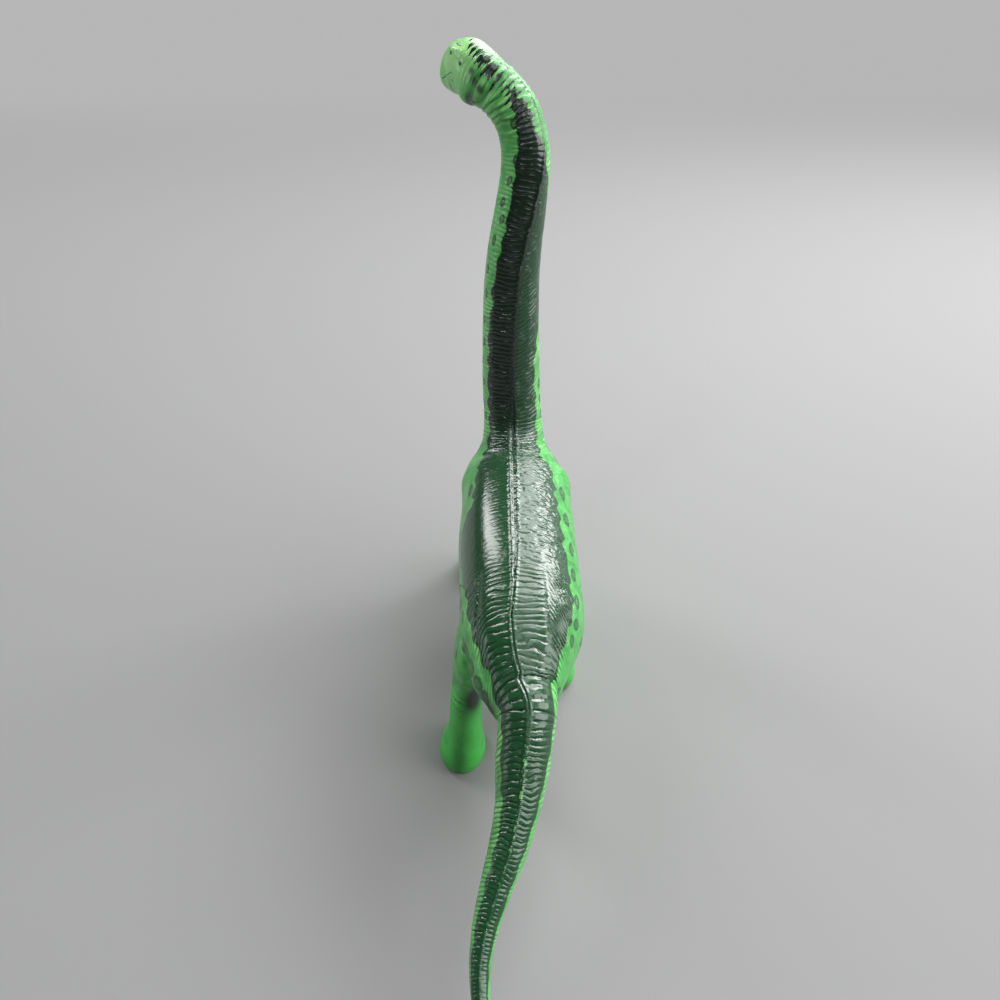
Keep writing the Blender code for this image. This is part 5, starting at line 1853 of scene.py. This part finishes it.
def floor_paper():
    """Pale paper that takes the shadow, and turns into an even backdrop far behind the toy."""
    nodes = Nodes("floor_paper")
    nodes.shader.inputs["Base Color"].default_value = FLOOR_COLOUR
    nodes.shader.inputs["Roughness"].default_value = 0.9
    nodes.shader.inputs["Specular IOR Level"].default_value = 0.1
    path = nodes.add("ShaderNodeLightPath")
    seen = nodes.math("MAXIMUM", path.outputs["Is Camera Ray"], path.outputs["Is Glossy Ray"])
    seen = nodes.math("MAXIMUM", seen, path.outputs["Is Transmission Ray"])
    split = nodes.add("ShaderNodeSeparateXYZ")
    nodes.link(nodes.add("ShaderNodeTexCoord").outputs["Object"], split.inputs[0])
    far = nodes.ramp(split.outputs["Y"], FAR_FLOOR_START, FAR_FLOOR_END)
    glow = nodes.add("ShaderNodeEmission")
    glow.inputs["Color"].default_value = FAR_FLOOR_COLOUR
    blend = nodes.add("ShaderNodeMixShader")
    nodes.link(nodes.math("MULTIPLY", seen, far), blend.inputs[0])
    nodes.link(nodes.shader.outputs[0], blend.inputs[1])
    nodes.link(glow.outputs[0], blend.inputs[2])
    nodes.link(blend.outputs[0], nodes.tree.nodes["Material Output"].inputs["Surface"])
    return nodes.material


def add_area(name, place, target, size, radiance):
    """A soft oblong lamp that faces the target."""
    light = bpy.data.lights.new(name, "AREA")
    light.shape = "RECTANGLE"
    light.size, light.size_y = size
    light.energy = radiance * pi * size[0] * size[1]
    item = bpy.data.objects.new(name, light)
    item.location = place
    item.rotation_euler = (target - place).to_track_quat("-Z", "Y").to_euler()
    bpy.context.scene.collection.objects.link(item)


def add_spot(name, place, target, power):
    """A narrow lamp with a soft edge, for one place of the figure."""
    light = bpy.data.lights.new(name, "SPOT")
    light.energy = power
    light.spot_size = HEAD_SPOT_WIDTH
    light.spot_blend = 1.0
    light.shadow_soft_size = HEAD_SPOT_RADIUS
    item = bpy.data.objects.new(name, light)
    item.location = place
    item.rotation_euler = (Vector(target) - Vector(place)).to_track_quat("-Z", "Y").to_euler()
    bpy.context.scene.collection.objects.link(item)


def shared_paint():
    """The skin paint, made once."""
    return bpy.data.materials.get("skin_paint") or skin_paint(bpy.context.scene.dino_paint)


class DINO_OT_torso(bpy.types.Operator):
    """Make the two torso shells"""

    bl_idname = "dino.torso"
    bl_label = "Torso shells"

    def execute(self, context):
        make_torso(shared_paint())
        return {"FINISHED"}


class DINO_OT_neck(bpy.types.Operator):
    """Make the two neck shells"""

    bl_idname = "dino.neck"
    bl_label = "Neck shells"

    def execute(self, context):
        make_neck(shared_paint())
        return {"FINISHED"}


class DINO_OT_tail(bpy.types.Operator):
    """Make the tail shells and the soft tip"""

    bl_idname = "dino.tail"
    bl_label = "Tail"

    def execute(self, context):
        make_tail(shared_paint())
        return {"FINISHED"}


class DINO_OT_legs(bpy.types.Operator):
    """Make the four legs"""

    bl_idname = "dino.legs"
    bl_label = "Legs"

    def execute(self, context):
        make_legs(shared_paint())
        return {"FINISHED"}


class DINO_OT_head(bpy.types.Operator):
    """Make the head and the lower jaw"""

    bl_idname = "dino.head"
    bl_label = "Head"

    def execute(self, context):
        make_head(shared_paint())
        return {"FINISHED"}


class DINO_OT_fittings(bpy.types.Operator):
    """Finish the screws, retainers and swivels"""

    bl_idname = "dino.fittings"
    bl_label = "Fittings"

    def execute(self, context):
        make_fittings()
        return {"FINISHED"}


class DINO_OT_stage(bpy.types.Operator):
    """Make the floor, the lights and the camera"""

    bl_idname = "dino.stage"
    bl_label = "Stage"

    def execute(self, context):
        make_stage(context.scene.dino_stage)
        return {"FINISHED"}


OPERATORS = (
    DINO_OT_stage,
    DINO_OT_torso,
    DINO_OT_neck,
    DINO_OT_tail,
    DINO_OT_legs,
    DINO_OT_head,
    DINO_OT_fittings,
)


class DINO_PT_panel(bpy.types.Panel):
    """Lists the steps"""

    bl_label = "Toy dinosaur"
    bl_idname = "DINO_PT_panel"
    bl_space_type = "VIEW_3D"
    bl_region_type = "UI"
    bl_category = "Dinosaur"

    def draw(self, context):
        for operator in OPERATORS:
            self.layout.operator(operator.bl_idname)
        for group in (context.scene.dino_paint, context.scene.dino_stage):
            for name in group.__annotations__:
                self.layout.prop(group, name)


CLASSES = (DinoPaint, DinoStage, *OPERATORS, DINO_PT_panel)


def register():
    """Add the classes and settings."""
    for item in CLASSES:
        bpy.utils.register_class(item)
    bpy.types.Scene.dino_paint = PointerProperty(type=DinoPaint)
    bpy.types.Scene.dino_stage = PointerProperty(type=DinoStage)


def unregister():
    """Take the classes and settings away again."""
    del bpy.types.Scene.dino_stage
    del bpy.types.Scene.dino_paint
    for item in reversed(CLASSES):
        bpy.utils.unregister_class(item)


def main():
    """Make everything in order."""
    register()
    bpy.ops.dino.stage()
    bpy.ops.dino.torso()
    bpy.ops.dino.neck()
    bpy.ops.dino.tail()
    bpy.ops.dino.legs()
    bpy.ops.dino.head()
    bpy.ops.dino.fittings()


if __name__ == "__main__":
    main()
